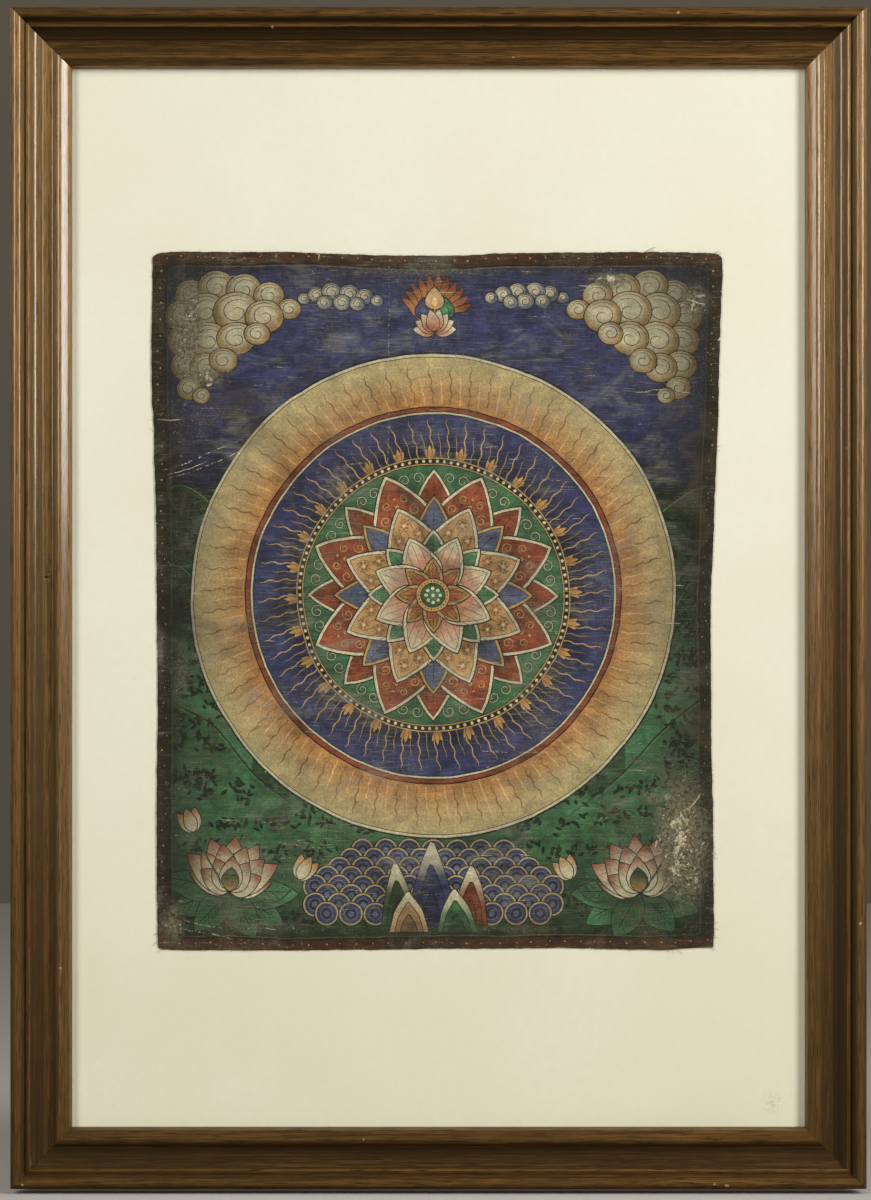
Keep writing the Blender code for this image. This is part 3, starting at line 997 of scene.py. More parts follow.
ring(196.0, INK)
ring(194.6, CHALK * 0.9)
ring(192.6, INK * 1.5)
ring(192.0, fade(SAFFRON, STRAW, HEART, 152, 186))
RAYS = 132
for k in range(RAYS):
    turn = 2 * math.pi * k / RAYS
    reach = np.linspace(153.5, 187.0 if k % 2 else 181.0, 12)
    sway = (0.9 if k % 2 else 0.25) * np.sin(np.linspace(0, 6 * math.pi, 12)) / 170
    bend = turn + sway + (reach - 153) / 1200
    brush(swung(HEART, reach, bend), 1.0, SAFFRON * 0.62 if k % 2 else SAND * 1.12, 0.8, 0.25)
ring(151.6, INK)
ring(150.6, CINNABAR)
ring(147.4, INK)
ring(146.8, CHALK * 0.9)
ring(145.4, INK)
ring(144.6, fade(NIGHT, LAPIS, HEART, 112, 134))

# gold rays on the blue, with flamelets between their feet
GOLD_RAYS = 112
for k in range(GOLD_RAYS):
    turn = 2 * math.pi * k / GOLD_RAYS
    long_ray = k % 2 == 0
    reach = np.linspace(110.5, 141.0 if long_ray else 131.0, 12)
    sway = np.sin(np.linspace(0, (5 if long_ray else 3) * math.pi, 12)) / 150
    bend = turn + sway * (1.0 if long_ray else 0.6) + (reach - 110) / 900
    brush(swung(HEART, reach, bend), 0.85 if long_ray else 0.6, OCHRE * (1.25 if long_ray else 0.9), 0.9, 0.3)
FLAMELETS = GOLD_RAYS // 4
for k in range(FLAMELETS):
    turn = 2 * math.pi * (k + 0.125) / FLAMELETS
    foot = HEART + 109.5 * heading(turn)
    for side in (-0.5, 0.5, 0.0):
        flame = placed(petal(11.0 - 4 * abs(side), 3.6, 0.75, 7), foot, turn - math.pi / 2 + side)
        inked(flame, fade(SAFFRON, OCHRE * 1.3, foot, 3, 11), 0.4)

# pearls on black, round the green ground
ring(110.2, OCHRE * 1.1)
ring(109.3, INK * 0.8)
PEARLS = 118
for k in range(PEARLS):
    turn = 2 * math.pi * k / PEARLS
    paint(circle(HEART + 107.4 * heading(turn), 1.3, 9), CHALK)
ring(105.5, OCHRE * 1.1)
ring(104.6, INK)
ring(104.0, fade(MALACHITE * 1.05, MALACHITE * 0.74, HEART, 66, 104))


# ---- the great lotus that fills the roundel
def lotus_petal(place, lean, length, width, edge_colour, deep, pale, fullness=0.70):
    """One broad petal: inked, edged, and washed from its foot to its tip."""
    tip_side = place + length * np.array((-math.sin(lean), math.cos(lean)))
    inked(placed(petal(length, width, fullness, 16), place, lean), edge_colour, 0.95)
    inner = placed(petal(length - 3.4, width - 5.4, fullness, 16), place, lean)
    inked(inner, fade(pale, deep, tip_side, length * 0.06, length * 0.62), 0.5)


def petal_veins(place, lean, length, width, count, colour, line=0.55):
    """Fine lines that fan out with the petal."""
    for side in np.linspace(-1, 1, count):
        t = np.linspace(0.46, 0.90 - 0.16 * abs(side), 8)
        vein = np.column_stack((side * width * 0.36 * np.sin(t * 2.5), t * length))
        brush(placed(vein, place, lean), line, colour, 0.7, 0.3)


TIERS = (  # length, width, half turn on, edge, body, tip
    (97.0, 50.0, True, CHALK * 0.9, MAROON, CINNABAR * 0.9),
    (99.0, 62.0, False, CHALK, CINNABAR * 0.94, CINNABAR * 1.22),
    (76.0, 38.0, True, OCHRE * 1.1, LAPIS, SLATE),
    (72.0, 46.0, False, CHALK, SAFFRON * 0.86, SAND),
    (49.0, 29.0, True, CHALK * 0.9, LEAF, MALACHITE * 1.25),
    (46.0, 31.0, False, CHALK, ROSE, CHALK),
    (26.0, 16.0, True, OCHRE, CINNABAR, SAFFRON),
)
RED_TIER, ORANGE_TIER, ROSE_TIER = 1, 3, 5
# mm up the petal, mm to its side, radius
BROCADE_ROUNDS = ((47.0, 8.5, 4.6), (47.0, -8.5, 4.6), (57.0, 0.0, 4.8), (37.5, 0.0, 3.4))
LOTUS_TURN = math.pi / 8
for side_curl in range(16):  # leaf scrolls on the green, between the tips
    turn = LOTUS_TURN / 2 + side_curl * math.pi / 8
    outward = heading(turn)
    across = np.array((-outward[1], outward[0]))
    for side in (-1, 1):
        middle = HEART + outward * 94.5 + across * side * 5.6
        scroll = spiral(middle, 5.2, 1.2, turn + math.pi - side * 0.6, -side * 1.35, 18)
        brush(scroll, 1.5, FOREST)
        brush(scroll, 0.6, CHALK * 0.85)
for number, (length, width, between, edge_colour, deep, pale) in enumerate(TIERS):
    for k in range(8):
        turn = LOTUS_TURN + 2 * math.pi * (k + (0.5 if between else 0.0)) / 8
        base = HEART + 4.0 * heading(turn)
        lean = turn - math.pi / 2
        lotus_petal(base, lean, length, width, edge_colour, deep, pale)
        vein_colour = deep * 0.55 if number != ROSE_TIER else ROSE * 0.6
        petal_veins(base, lean, length, width, 7 if width > 40 else 5, vein_colour)
        if number == RED_TIER:  # gold scrolls near the tips
            for side in (-1, 1):
                for reach, offset, radius in ((66.0, 12.5, 4.8), (55.0, 15.5, 3.8), (77.0, 7.5, 3.6)):
                    middle = placed([(side * offset, reach)], base, lean)[0]
                    brush(spiral(middle, radius, 0.9, lean + side * 0.8, side * 1.4, 16), 0.75, OCHRE * 1.15)
            for reach in (60.0, 66.5, 73.0, 79.5):
                bead = placed([(0.0, reach)], base, lean)[0]
                paint(circle(bead, 1.5 if reach < 79 else 1.0, 8), OCHRE * 1.25)
        if number == ORANGE_TIER:  # brocade rounds
            for reach, offset, radius in BROCADE_ROUNDS:
                middle = placed([(offset, reach)], base, lean)[0]
                for j in range(6):
                    dot = middle + radius * 0.62 * heading(lean + j * math.pi / 3)
                    paint(circle(dot, radius * 0.24, 7), SAFFRON * 0.55)
                brush(circle(middle, radius, 17)[:16], 0.5, SAFFRON * 0.5, 1.0, 1.0)
                paint(circle(middle, radius * 0.22, 7), CHALK)
inked(circle(HEART, 13.2, 34), OCHRE * 1.2, 0.8)
STAMENS = 26
for k in range(STAMENS):
    turn = 2 * math.pi * k / STAMENS
    paint(circle(HEART + 11.4 * heading(turn), 0.8, 6), CINNABAR)
inked(circle(HEART, 9.6, 28), fade(MALACHITE * 1.1, LEAF, HEART, 2, 9), 0.5)
for reach, count in ((0.0, 1), (5.6, 8)):
    for k in range(count):
        turn = 2 * math.pi * k / count
        inked(circle(HEART + reach * heading(turn), 1.5, 9), CHALK, 0.4)

# ---- lines round the field
for inset, width, colour in ((0.0, 1.3, HEM_DARK * 0.6), (1.5, 0.7, OCHRE * 0.55)):
    line = inside_edge(BORDER_LEFT + inset, BORDER_RIGHT + inset, BORDER_TOP + inset, BORDER_BOTTOM + inset)
    line = np.vstack((line, line[:2]))
    for k in range(0, len(line) - 1, 12):
        piece = line[k:k + 13]
        if len(piece) > 2:
            brush(piece, width, colour, 0.8, 0.8, "cloth")


# ---- creases and scratches, and the tan holes of an old row of stitches in the border
CREASES = (  # points along it, width, how hard it is worn
    (((-222, 103), (-204, 108), (-184, 117), (-160, 126)), 1.0, "crease"),
    (((-220, 96), (-198, 102), (-172, 112), (-150, 122)), 0.8, "crease"),
    (((-218, 99.5), (-200, 104), (-186, 110)), 0.5, "scratch"),
    (((200.5, 241), (204, 239.2), (207, 238.6), (210, 237.2), (215, 236.6)), 1.1, "scratch"),
    (((176, 236.4), (196, 236.0), (226, 235.2)), 0.5, "crease"),
    (((200, -171), (205, -166), (211.5, -157.5)), 1.0, "scratch"),
    (((-213, -265), (-196, -268), (-180, -271), (-164, -275)), 1.0, "crease"),
    (((-208, -258), (-190, -263), (-172, -266)), 0.6, "crease"),
    (((-40.5, 268), (-40.0, 190), (-41.2, 120), (-40.6, 60)), 0.5, "crease"),
    (((-226, 143.5), (-214, 143.2), (-206, 143.6)), 0.7, "scratch"),
    (((-96, 270), (-95.6, 276.5)), 1.1, "scratch"),
    (((120, 258), (128, 256.5), (136, 257.4), (146, 255.6)), 0.9, "crease"),
    (((112, 251.5), (124, 250.5), (133, 251.2)), 0.6, "scratch"),
    (((-150, -88), (-120, -84.5), (-96, -83.5)), 0.5, "crease"),
    (((60, 66), (96, 64), (128, 64.6)), 0.45, "crease"),
    (((20, -122), (70, -124), (110, -122.6)), 0.5, "crease"),
    (((-130, -196), (-100, -201), (-84, -200)), 0.6, "crease"),
    (((80, -226), (104, -223.5), (140, -226)), 0.5, "crease"),
)
for crease_points, crease_width, crease_kind in CREASES:
    crease = spaced(through(crease_points, 6), 2.6)
    brush(blotted(crease, 0.5, 3.0), crease_width, CHALK, 0.2, 0.2, crease_kind)
WEFT_SCRATCHES = 190
for scratch_number in range(WEFT_SCRATCHES):  # thin, and along the weft
    start_x, start_z = hand.uniform(-215, 195), hand.uniform(-268, 264)
    run_length = 3 + 15 * hand.random() ** 2
    mark = spaced(((start_x, start_z), (start_x + run_length, start_z + hand.uniform(-0.8, 0.8))), 2.4)
    brush(blotted(mark, 0.35, 2.5), 0.4, CHALK, 0.3, 0.3,
          "crease" if scratch_number % 3 else "scratch")

HOLE_STEP = 12.8
hole_line = spaced(inside_edge(6.0, 5.6, 4.0, 5.2), HOLE_STEP, closed=True)
stitch_holes = []
for hole_x, hole_z in hole_line:
    hole = np.array((hole_x + hand.uniform(-2, 2), hole_z + hand.uniform(-0.5, 0.5)))
    stitch_holes.append(hole)
    paint(blotted(circle(hole, 1.35 * hand.uniform(0.8, 1.2), 8), 0.4, 1.5), HEM_DARK * 0.4, "cloth")
    bare_cloth = blotted(circle(hole, 0.85 * hand.uniform(0.75, 1.15), 8), 0.3, 1.5)
    paint(bare_cloth, SAND * hand.uniform(0.55, 0.95), "cloth")
BORDER_SPOTS = 170
for _ in range(BORDER_SPOTS):  # ochre and tan spots where the border's paint has gone
    along_edge = edge[hand.randrange(len(edge))] * (1 - abs(hand.gauss(0, 0.012)) - 0.004)
    if abs(along_edge[1]) < 255 and hand.random() < 0.6:
        continue
    spot_size = 0.25 + 0.5 * hand.random() ** 2
    paint(blotted(circle(along_edge, spot_size, 6), 0.3, 1.0), OCHRE * hand.uniform(0.4, 0.95), "cloth")

BARE_PATCHES = 46
for _ in range(BARE_PATCHES):  # bare chalk ground in the damaged corner
    patch_x, patch_z = 193 + hand.gauss(0, 9), -196 + hand.gauss(0, 20)
    patch_size = 0.5 + 2.2 * hand.random() ** 3
    patch_colour = CHALK * hand.uniform(0.7, 1.0) if hand.random() < 0.7 else OCHRE * hand.uniform(0.6, 0.9)
    patch = circle((patch_x, patch_z), patch_size, 12)
    paint(blotted(patch, 0.9 * patch_size, 1.1 * patch_size), patch_colour)


# ---- the mesh: every painted outline is cut into the cloth's front face
SWIM_SEED = 1795545107  # so that the drawing leans and swims the same way each time
noise.seed_set(SWIM_SEED)


def hand_drawn(points):
    """Everything leans and swims a little, as in work done by eye."""
    moved = []
    for x, z in points:
        slow = noise.noise_vector(Vector((x, z, 1.0)) * 0.016)
        quick = noise.noise_vector(Vector((x, z, 4.0)) * 0.12)
        moved.append((x + 1.5 * slow.x + 0.3 * quick.x, z + 1.5 * slow.y + 0.3 * quick.y))
    return np.array(moved)


def lift(x, z):
    """How far the cloth stands off the board where it has cockled."""
    slow = noise.noise(Vector((x, z, 20.0)) * 0.012)
    quick = noise.noise(Vector((x, z, 30.0)) * 0.045)
    return max(0.0, 0.35 + 0.55 * slow + 0.22 * quick)


SNAP = 1e-4  # points nearer than this, in mm, become one
flat_points = []
outlines = []
for number, (outline, _, _) in enumerate(layers):
    swum = outline if number == 0 else hand_drawn(outline)
    start = len(flat_points)
    flat_points += [Vector(point) for point in swum]
    outlines.append(list(range(start, len(flat_points))))
grid_random = random.Random(5)
points, _, triangles, _, _, inside = delaunay_2d_cdt(flat_points, [], outlines, 1, SNAP, True)


def topmost(inside):
    """For each triangle the layer that shows, or -1 off the cloth. Field layers stop at the field's edge."""
    shown = np.full(len(inside), -1)
    for i, numbers in enumerate(inside):
        if 0 in numbers:
            in_field = FIELD in numbers
            shown[i] = max(k for k in numbers
                           if layers[k][2] == "cloth" or (in_field and layers[k][2] == "field"))
    return shown


def rubbed_through(inside):
    """For each triangle how far a crease or a scratch has taken its paint off, from 0 to 1."""
    wear = {"cloth": 0.0, "field": 0.0, "crease": 0.5, "scratch": 1.0}
    return np.array([max((wear[layers[k][2]] for k in numbers), default=0.0) for numbers in inside])


def seen_lines(triangles, shown):
    """The edges between triangles that look different, with the cloth's own edge."""
    corners = np.asarray(triangles)
    pairs = np.sort(np.vstack((corners[:, [0, 1]], corners[:, [1, 2]], corners[:, [2, 0]])), axis=1)
    layer = np.tile(shown, 3)
    order = np.lexsort((pairs[:, 1], pairs[:, 0]))
    pairs, layer = pairs[order], layer[order]
    same = np.all(pairs[1:] == pairs[:-1], axis=1)
    alone = ~np.concatenate(([False], same)) & ~np.concatenate((same, [False]))
    twin = np.flatnonzero(same)
    differ = twin[layer[twin] != layer[twin + 1]]
    return np.vstack((pairs[differ], pairs[alone & (layer >= 0)]))


LINE_TOLERANCE = 0.035  # a point may lie this far off a straight stretch
LONGEST_STRETCH = 9.0


def straightened(points, lines):
    """The same lines without the points that lie along a straight stretch."""
    joined = {}
    for a, b in lines.tolist():
        joined.setdefault(a, set()).add(b)
        joined.setdefault(b, set()).add(a)
    for _ in range(3):
        held = set()
        for middle in list(joined):
            if len(joined[middle]) != 2 or middle in held:
                continue
            a, b = joined[middle]
            if b in joined[a]:
                continue
            chord = points[b] - points[a]
            offset = abs(chord.cross(points[middle] - points[a])) / max(chord.length, 1e-6)
            if offset < LINE_TOLERANCE and chord.length < LONGEST_STRETCH:
                joined[a].discard(middle)
                joined[b].discard(middle)
                joined[a].add(b)
                joined[b].add(a)
                del joined[middle]
                held.update((a, b))
    return [(a, b) for a in joined for b in joined[a] if a < b]


shown = topmost(inside)
scuffed = rubbed_through(inside)
lines = straightened(points, seen_lines(triangles, shown * 4 + (2 * scuffed).astype(int)))
used = sorted({i for line in lines for i in line})
renumbered = {old: new for new, old in enumerate(used)}
on_lines = KDTree(len(used))
for new, old in enumerate(used):
    on_lines.insert((*points[old], 0), new)
on_lines.balance()
CLEAR_OF_LINES = 1.1
front_points = [points[i] for i in used]
for x in np.arange(-half_left + 3, half_right - 2, GRID_STEP):
    for z in np.arange(-half_low + 3, half_top - 2, GRID_STEP):
        spot = Vector((x + grid_random.uniform(-1, 1), z + grid_random.uniform(-1, 1)))
        if on_lines.find((*spot, 0))[2] > CLEAR_OF_LINES:
            front_points.append(spot)
finder = BVHTree.FromPolygons([(*point, 0.0) for point in points], triangles)
front_points, _, front_faces, _, _, _ = delaunay_2d_cdt(
    front_points, [(renumbered[a], renumbered[b]) for a, b in lines], [], 0, SNAP, True)
kept_faces, face_layer, face_scuff = [], [], []
for face in front_faces:
    middle = (front_points[face[0]] + front_points[face[1]] + front_points[face[2]]) / 3
    hit = finder.ray_cast((*middle, 1.0), (0, 0, -1))[2]
    if hit is not None and shown[hit] >= 0:
        kept_faces.append(face)
        face_layer.append(shown[hit])
        face_scuff.append(float(scuffed[hit]))


def outer_loop(faces):
    """The corner numbers round the outside of the faces, in order."""
    following = {}
    for face in faces:
        for k in range(3):
            following[(face[k], face[(k + 1) % 3])] = True
    onward = {a: b for a, b in following if (b, a) not in following}
    loop = [next(iter(onward))]
    while onward[loop[-1]] != loop[0] and len(loop) < len(onward):
        loop.append(onward[loop[-1]])
    if len(loop) != len(onward) or onward[loop[-1]] != loop[0]:
        raise ValueError("the cloth's edge isn't one loop")
    return loop


def only_used(points, faces):
    """The points that the faces use, and the faces numbered by them."""
    used = sorted({i for face in faces for i in face})
    renumbered = {old: new for new, old in enumerate(used)}
    return [points[i] for i in used], [[renumbered[i] for i in face] for face in faces]


front_points, front_faces = only_used(front_points, kept_faces)
rim = outer_loop(front_faces)
back_points = [front_points[i] for i in rim]
for x in np.arange(-half_left + 9, half_right - 8, BACK_STEP):
    for z in np.arange(-half_low + 9, half_top - 8, BACK_STEP):
        back_points.append(Vector((x, z)))
back_points, _, back_faces, _, _, covered = delaunay_2d_cdt(
    back_points, [], [list(range(len(rim)))], 1, SNAP, True)
back_faces = [face for face, inside_rim in zip(back_faces, covered) if inside_rim]
back_points, back_faces = only_used(back_points, back_faces)


def cloth_mesh():
    """The sheet as one closed skin: painted front, rim and back."""
    on_rim = set(rim)
    places = []
    for i, (x, z) in enumerate(front_points):
        thick = RIM_THICKNESS if i in on_rim else CLOTH_THICKNESS
        places.append((x * MM, -(CLOTH_BACK + lift(x, z) + thick) * MM, (MIDDLE_Z + z) * MM))
    first_back = len(places)
    for x, z in back_points:
        places.append((x * MM, -(CLOTH_BACK + lift(x, z)) * MM, (MIDDLE_Z + z) * MM))
    faces = [list(face) for face in front_faces]
    faces += [[first_back + i for i in reversed(face)] for face in back_faces]
    for k in range(len(rim)):
        following = (k + 1) % len(rim)
        faces.append([rim[k], first_back + k, first_back + following, rim[following]])
    mesh = bpy.data.meshes.new("cloth_sheet")
    mesh.from_pydata(places, [], faces)
    mesh.validate()
    return mesh


sheet_mesh = cloth_mesh()
corner_vertex = np.empty(len(sheet_mesh.loops), int)
sheet_mesh.loops.foreach_get("vertex_index", corner_vertex)
vertex_place = np.empty(len(sheet_mesh.vertices) * 3)
sheet_mesh.vertices.foreach_get("co", vertex_place)
vertex_place = vertex_place.reshape(-1, 3) / MM
corner_x = vertex_place[corner_vertex, 0]
corner_z = vertex_place[corner_vertex, 2] - MIDDLE_Z
front_corners = len(front_faces) * 3
rim_start = front_corners + len(back_faces) * 3
paint_values = np.ones((len(corner_vertex), 4))
paint_values[:, :3] = pigment(150, 130, 92)  # the bare cotton of the back
corner_layer = np.repeat(face_layer, 3)
order = np.argsort(corner_layer, kind="stable")
starts = np.flatnonzero(np.diff(corner_layer[order], prepend=-1))
for start, stop in zip(starts, [*starts[1:], front_corners]):
    chosen = order[start:stop]
    rule = layers[corner_layer[chosen[0]]][1]
    paint_values[chosen, :3] = rule(corner_x[chosen], corner_z[chosen])
paint_values[rim_start:, :3] = HEM_DARK * 1.5
paint_layer = sheet_mesh.attributes.new("paint", "FLOAT_COLOR", "CORNER")
paint_layer.data.foreach_set("color", paint_values.ravel())
scuff_values = np.zeros(len(corner_vertex))
scuff_values[:front_corners] = np.repeat(face_scuff, 3)
scuff_layer = sheet_mesh.attributes.new("scuffed", "FLOAT", "CORNER")
scuff_layer.data.foreach_set("value", scuff_values)

FLAKED = (  # middle and half size of each flaked patch, and how much of it is bare
    (196, -196, 20, 46, 1.0),
    (186, -172, 14, 14, 0.7),
    (172, -160, 10, 8, 0.5),
    (138, 255, 17, 7, 0.75),
    (206, 238, 12, 16, 0.6),
    (-200, 214, 14, 40, 0.7),
    (-186, 178, 20, 10, 0.6),
    (-214, -262, 10, 16, 0.7),
    (-150, -264, 60, 6, 0.4),
    (60, -266, 60, 5, 0.35),
    (0, 262, 120, 4, 0.4),
    (-206, -60, 8, 40, 0.35),
)


def flaking(x, z):
    """How bare the cloth is, from 0 to 1."""
    most = np.zeros(len(x))
    for middle_x, middle_z, half_x, half_z, bare in FLAKED:
        far = ((x - middle_x) / half_x) ** 2 + ((z - middle_z) / half_z) ** 2
        most = np.maximum(most, bare * np.exp(-far * 0.9))
    return most


def smoke(x, z):
    """Soot and handling: heavy down both sides and in the upper corners, light along the ends."""
    from_left, from_right = x + half_left, half_right - x
    from_top, from_foot = half_top - z, z + half_low
    left = 0.92 * np.exp(-(np.maximum(from_left - 14, 0) / 30) ** 1.3)
    right = 0.92 * np.exp(-(np.maximum(from_right - 13, 0) / 33) ** 1.3)
    low = 0.62 * np.exp(-np.maximum(from_foot - 10, 0) / 16)
    high = 0.45 * np.exp(-np.maximum(from_top - 10, 0) / 13)
    corner = 0.60 * np.exp(-(np.hypot(np.minimum(from_left, from_right), from_top) / 62) ** 2)
    all_over = 1 - (1 - left) * (1 - right) * (1 - low) * (1 - high) * (1 - corner)
    on_border = (np.minimum(from_left, from_right) < 9.5) | (np.minimum(from_top, from_foot) < 8.5)
    return np.where(on_border, 0.25, np.clip(all_over, 0, 1))


for wear_name, wear_rule in (("flaked", flaking), ("smoked", smoke)):
    values = wear_rule(vertex_place[:, 0], vertex_place[:, 2] - MIDDLE_Z).astype(np.float32)
    sheet_mesh.attributes.new(wear_name, "FLOAT", "POINT").data.foreach_set("value", values)

# the OFBake map: the painted front fills it, with the back and the rim in strips beside it
FRONT_STRIP, BACK_STRIP, RIM_STRIP = (0.004, 0.935), (0.945, 0.975), (0.982, 0.996)
across = (corner_x + half_left) / (half_left + half_right)
up = (corner_z + half_low) / (half_low + half_top)
map_u = FRONT_STRIP[0] + (FRONT_STRIP[1] - FRONT_STRIP[0]) * across
back_across = across[front_corners:rim_start]
map_u[front_corners:rim_start] = BACK_STRIP[0] + (BACK_STRIP[1] - BACK_STRIP[0]) * back_across
map_v = 0.004 + 0.992 * up
for k in range(len(rim)):
    corner = rim_start + 4 * k
    low, high = 0.01 + 0.98 * k / len(rim), 0.01 + 0.98 * (k + 1) / len(rim)
    map_u[corner:corner + 4] = (RIM_STRIP[1], RIM_STRIP[0], RIM_STRIP[0], RIM_STRIP[1])
    map_v[corner:corner + 4] = (low, low, high, high)
sheet_map = sheet_mesh.uv_layers.new(name="OFBake")
sheet_map.data.foreach_set("uv", np.column_stack((map_u, map_v)).ravel())
sheet_mesh.shade_smooth()
sheet_mesh.set_sharp_from_angle(angle=math.radians(50))  # only the rim stays crisp


def painted_cotton():
    """Chalky paint on thin cotton: washes, weave showing through, flakes, creases and smoke."""
    n = Nodes("painted_cotton")
    spot = n.place()
    painted = n.attribute("paint").outputs["Color"]
    flaked = n.attribute("flaked").outputs["Fac"]
    smoked = n.attribute("smoked").outputs["Fac"]
    scuffed = n.attribute("scuffed").outputs["Fac"]
    broad = n.mottle(spot, 17, 3, 0.55)
    wash = n.mottle(spot, 75, 4, 0.6, 0.4)
    stroke = n.mottle(n.stretched(spot, (46, 46, 120)), 1.0, 4, 0.65, 0.6)
    grain = n.mottle(spot, 620, 3, 0.65)
    weft = n.mottle(n.stretched(spot, (62, 62, 1150)), 1.0, 4, 0.65, 0.15)
    warp = n.mottle(n.stretched(spot, (1150, 62, 66), (3, 1, 7)), 1.0, 4, 0.65, 0.15)
    long_weft = n.mottle(n.stretched(spot, (8, 8, 1500), (1, 4, 2)), 1.0, 2, 0.5)
    chips = n.mottle(spot, 300, 5, 0.7, 0.5)
    # pale washes went on smoother than the dark ones
    unevenness = n.step(painted, 0.10, 0.32, 1.0, 0.5)
    tone = n.mix(n.step(wash, 0.28, 0.72), (0.66, 0.66, 0.67), (1.28, 1.28, 1.25))
    colour = n.mix(unevenness, painted, tone, "MULTIPLY")
    tone = n.mix(n.step(stroke, 0.32, 0.68), (0.72, 0.72, 0.73), (1.22, 1.22, 1.20))
    colour = n.mix(unevenness, colour, tone, "MULTIPLY")
    tone = n.mix(n.step(grain, 0.3, 0.7), (0.76, 0.75, 0.74), (1.24, 1.24, 1.26))
    colour = n.mix(1.0, colour, tone, "MULTIPLY")
    # a brown veil of age over everything
    colour = n.mix(n.step(broad, 0.3, 0.7, 0.04, 0.15), colour, (0.125, 0.108, 0.062))
    # the weave's high threads are rubbed pale
    worn = n.step(broad, 0.35, 0.7, 0.35, 0.95)
    lines = n.sum("MULTIPLY", n.step(weft, 0.53, 0.70), worn)
    colour = n.mix(n.sum("MULTIPLY", lines, 0.40), colour, (0.40, 0.37, 0.25))
    colour = n.mix(n.sum("MULTIPLY", n.step(warp, 0.58, 0.76), worn, 0.24), colour, (0.40, 0.36, 0.24))
    colour = n.mix(n.step(long_weft, 0.69, 0.76, 0.0, 0.28), colour, (0.46, 0.42, 0.29))
    sunk = n.sum("MULTIPLY", n.step(weft, 0.43, 0.32, 0.0, 0.34), unevenness)
    colour = n.mix(sunk, colour, (0.030, 0.026, 0.019))
    # soot in soft blots, with more down the sides
    blots = n.mottle(spot, 11, 4, 0.62, 0.9)
    soot = n.sum("MULTIPLY", n.step(blots, 0.50, 0.70, 0.0, 0.62), unevenness)
    colour = n.mix(soot, colour, (0.024, 0.023, 0.018))
    bloom = n.mottle(n.stretched(spot, (20, 20, 34), (2, 6, 3)), 1.0, 6, 0.72, 0.7)
    dusted = n.sum("MULTIPLY", n.step(bloom, 0.51, 0.70, 0.0, 0.62), n.step(weft, 0.38, 0.60, 0.35, 1.1))
    colour = n.mix(dusted, colour, (0.205, 0.200, 0.155))
    shade = n.sum("MULTIPLY", smoked, n.step(wash, 0.2, 0.8, 0.80, 1.2))
    colour = n.mix(shade, colour, n.mix(0.86, colour, (0.021, 0.020, 0.0135)))
    # a tide line where damp has dried
    tide = n.mottle(spot, 9.5, 2, 0.5, 0.8)
    ring = n.sum("MULTIPLY", n.step(tide, 0.545, 0.562), n.step(tide, 0.60, 0.564))
    colour = n.mix(n.sum("MULTIPLY", ring, 0.22), colour, (0.10, 0.075, 0.04))
    # damaged places: a dull grey stain first, then cream patches and specks where paint has gone
    stain = n.mix(n.step(chips, 0.36, 0.62), (0.038, 0.036, 0.024), (0.170, 0.156, 0.098))
    stain_share = n.step(n.sum("ADD", flaked, n.sum("MULTIPLY", wash, 0.5)), 0.34, 0.95, 0.0, 0.88)
    colour = n.mix(n.sum("MULTIPLY", stain_share, n.step(flaked, 0.02, 0.30)), colour, stain)
    patches = n.mottle(n.stretched(spot, (95, 95, 80), (5, 2, 9)), 1.0, 6, 0.72, 0.7)
    loss = n.sum("ADD", patches, n.sum("MULTIPLY", flaked, 0.205))
    bare = n.mix(n.step(grain, 0.32, 0.62), (0.27, 0.225, 0.130), (0.56, 0.52, 0.37))
    colour = n.mix(n.step(loss, 0.70, 0.78, 0.0, 0.92), colour, bare)
    fleck = n.mottle(spot, 640, 3, 0.62)
    fleck_share = n.step(n.sum("ADD", fleck, n.sum("MULTIPLY", flaked, 0.165)), 0.725, 0.755)
    fleck_colour = n.mix(n.step(wash, 0.5, 0.56), (0.36, 0.21, 0.095), (0.62, 0.58, 0.43))
    colour = n.mix(n.sum("MULTIPLY", fleck_share, 0.9), colour, fleck_colour)
    specked = n.step(broad, 0.44, 0.60, 0.15, 1.0)
    specks = n.sum("MULTIPLY", n.step(n.mottle(spot, 1500, 1, 0.5), 0.70, 0.74), specked)
    colour = n.mix(n.sum("MULTIPLY", specks, 0.6), colour, (0.56, 0.53, 0.41))
    scored = n.step(n.sum("ADD", chips, n.sum("MULTIPLY", scuffed, 0.25)), 0.60, 0.72, 0.0, 0.85)
    colour = n.mix(n.sum("MULTIPLY", scored, n.step(scuffed, 0.1, 0.4)), colour, bare)
    n.put(n.shader.inputs["Base Color"], colour)
    n.put(n.shader.inputs["Roughness"], n.step(grain, 0.3, 0.7, 0.72, 0.9))
    n.shader.inputs["Specular IOR Level"].default_value = 0.10
    threads = n.relief(n.sum("ADD", weft, warp), 0.00012, 0.5)
    n.put(n.shader.inputs["Normal"], n.relief(n.step(loss, 0.70, 0.76, 1.0, 0.0), 0.00010, 0.6, threads))
    return n.material


cloth = set_out("cloth_sheet", sheet_mesh)
sheet_mesh.materials.append(painted_cotton())
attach(cloth, "root")
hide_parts("painted_cloth")

# ==========================================================================
# Old stitch ends: an old seam round the border was unpicked, and short stubs
# of its cotton thread are left in most of the holes.
# ==========================================================================
STUB_RADIUS = 0.21
EMPTY_HOLES = 0.22  # the share of holes with no thread left in them
stub_random = random.Random(23)


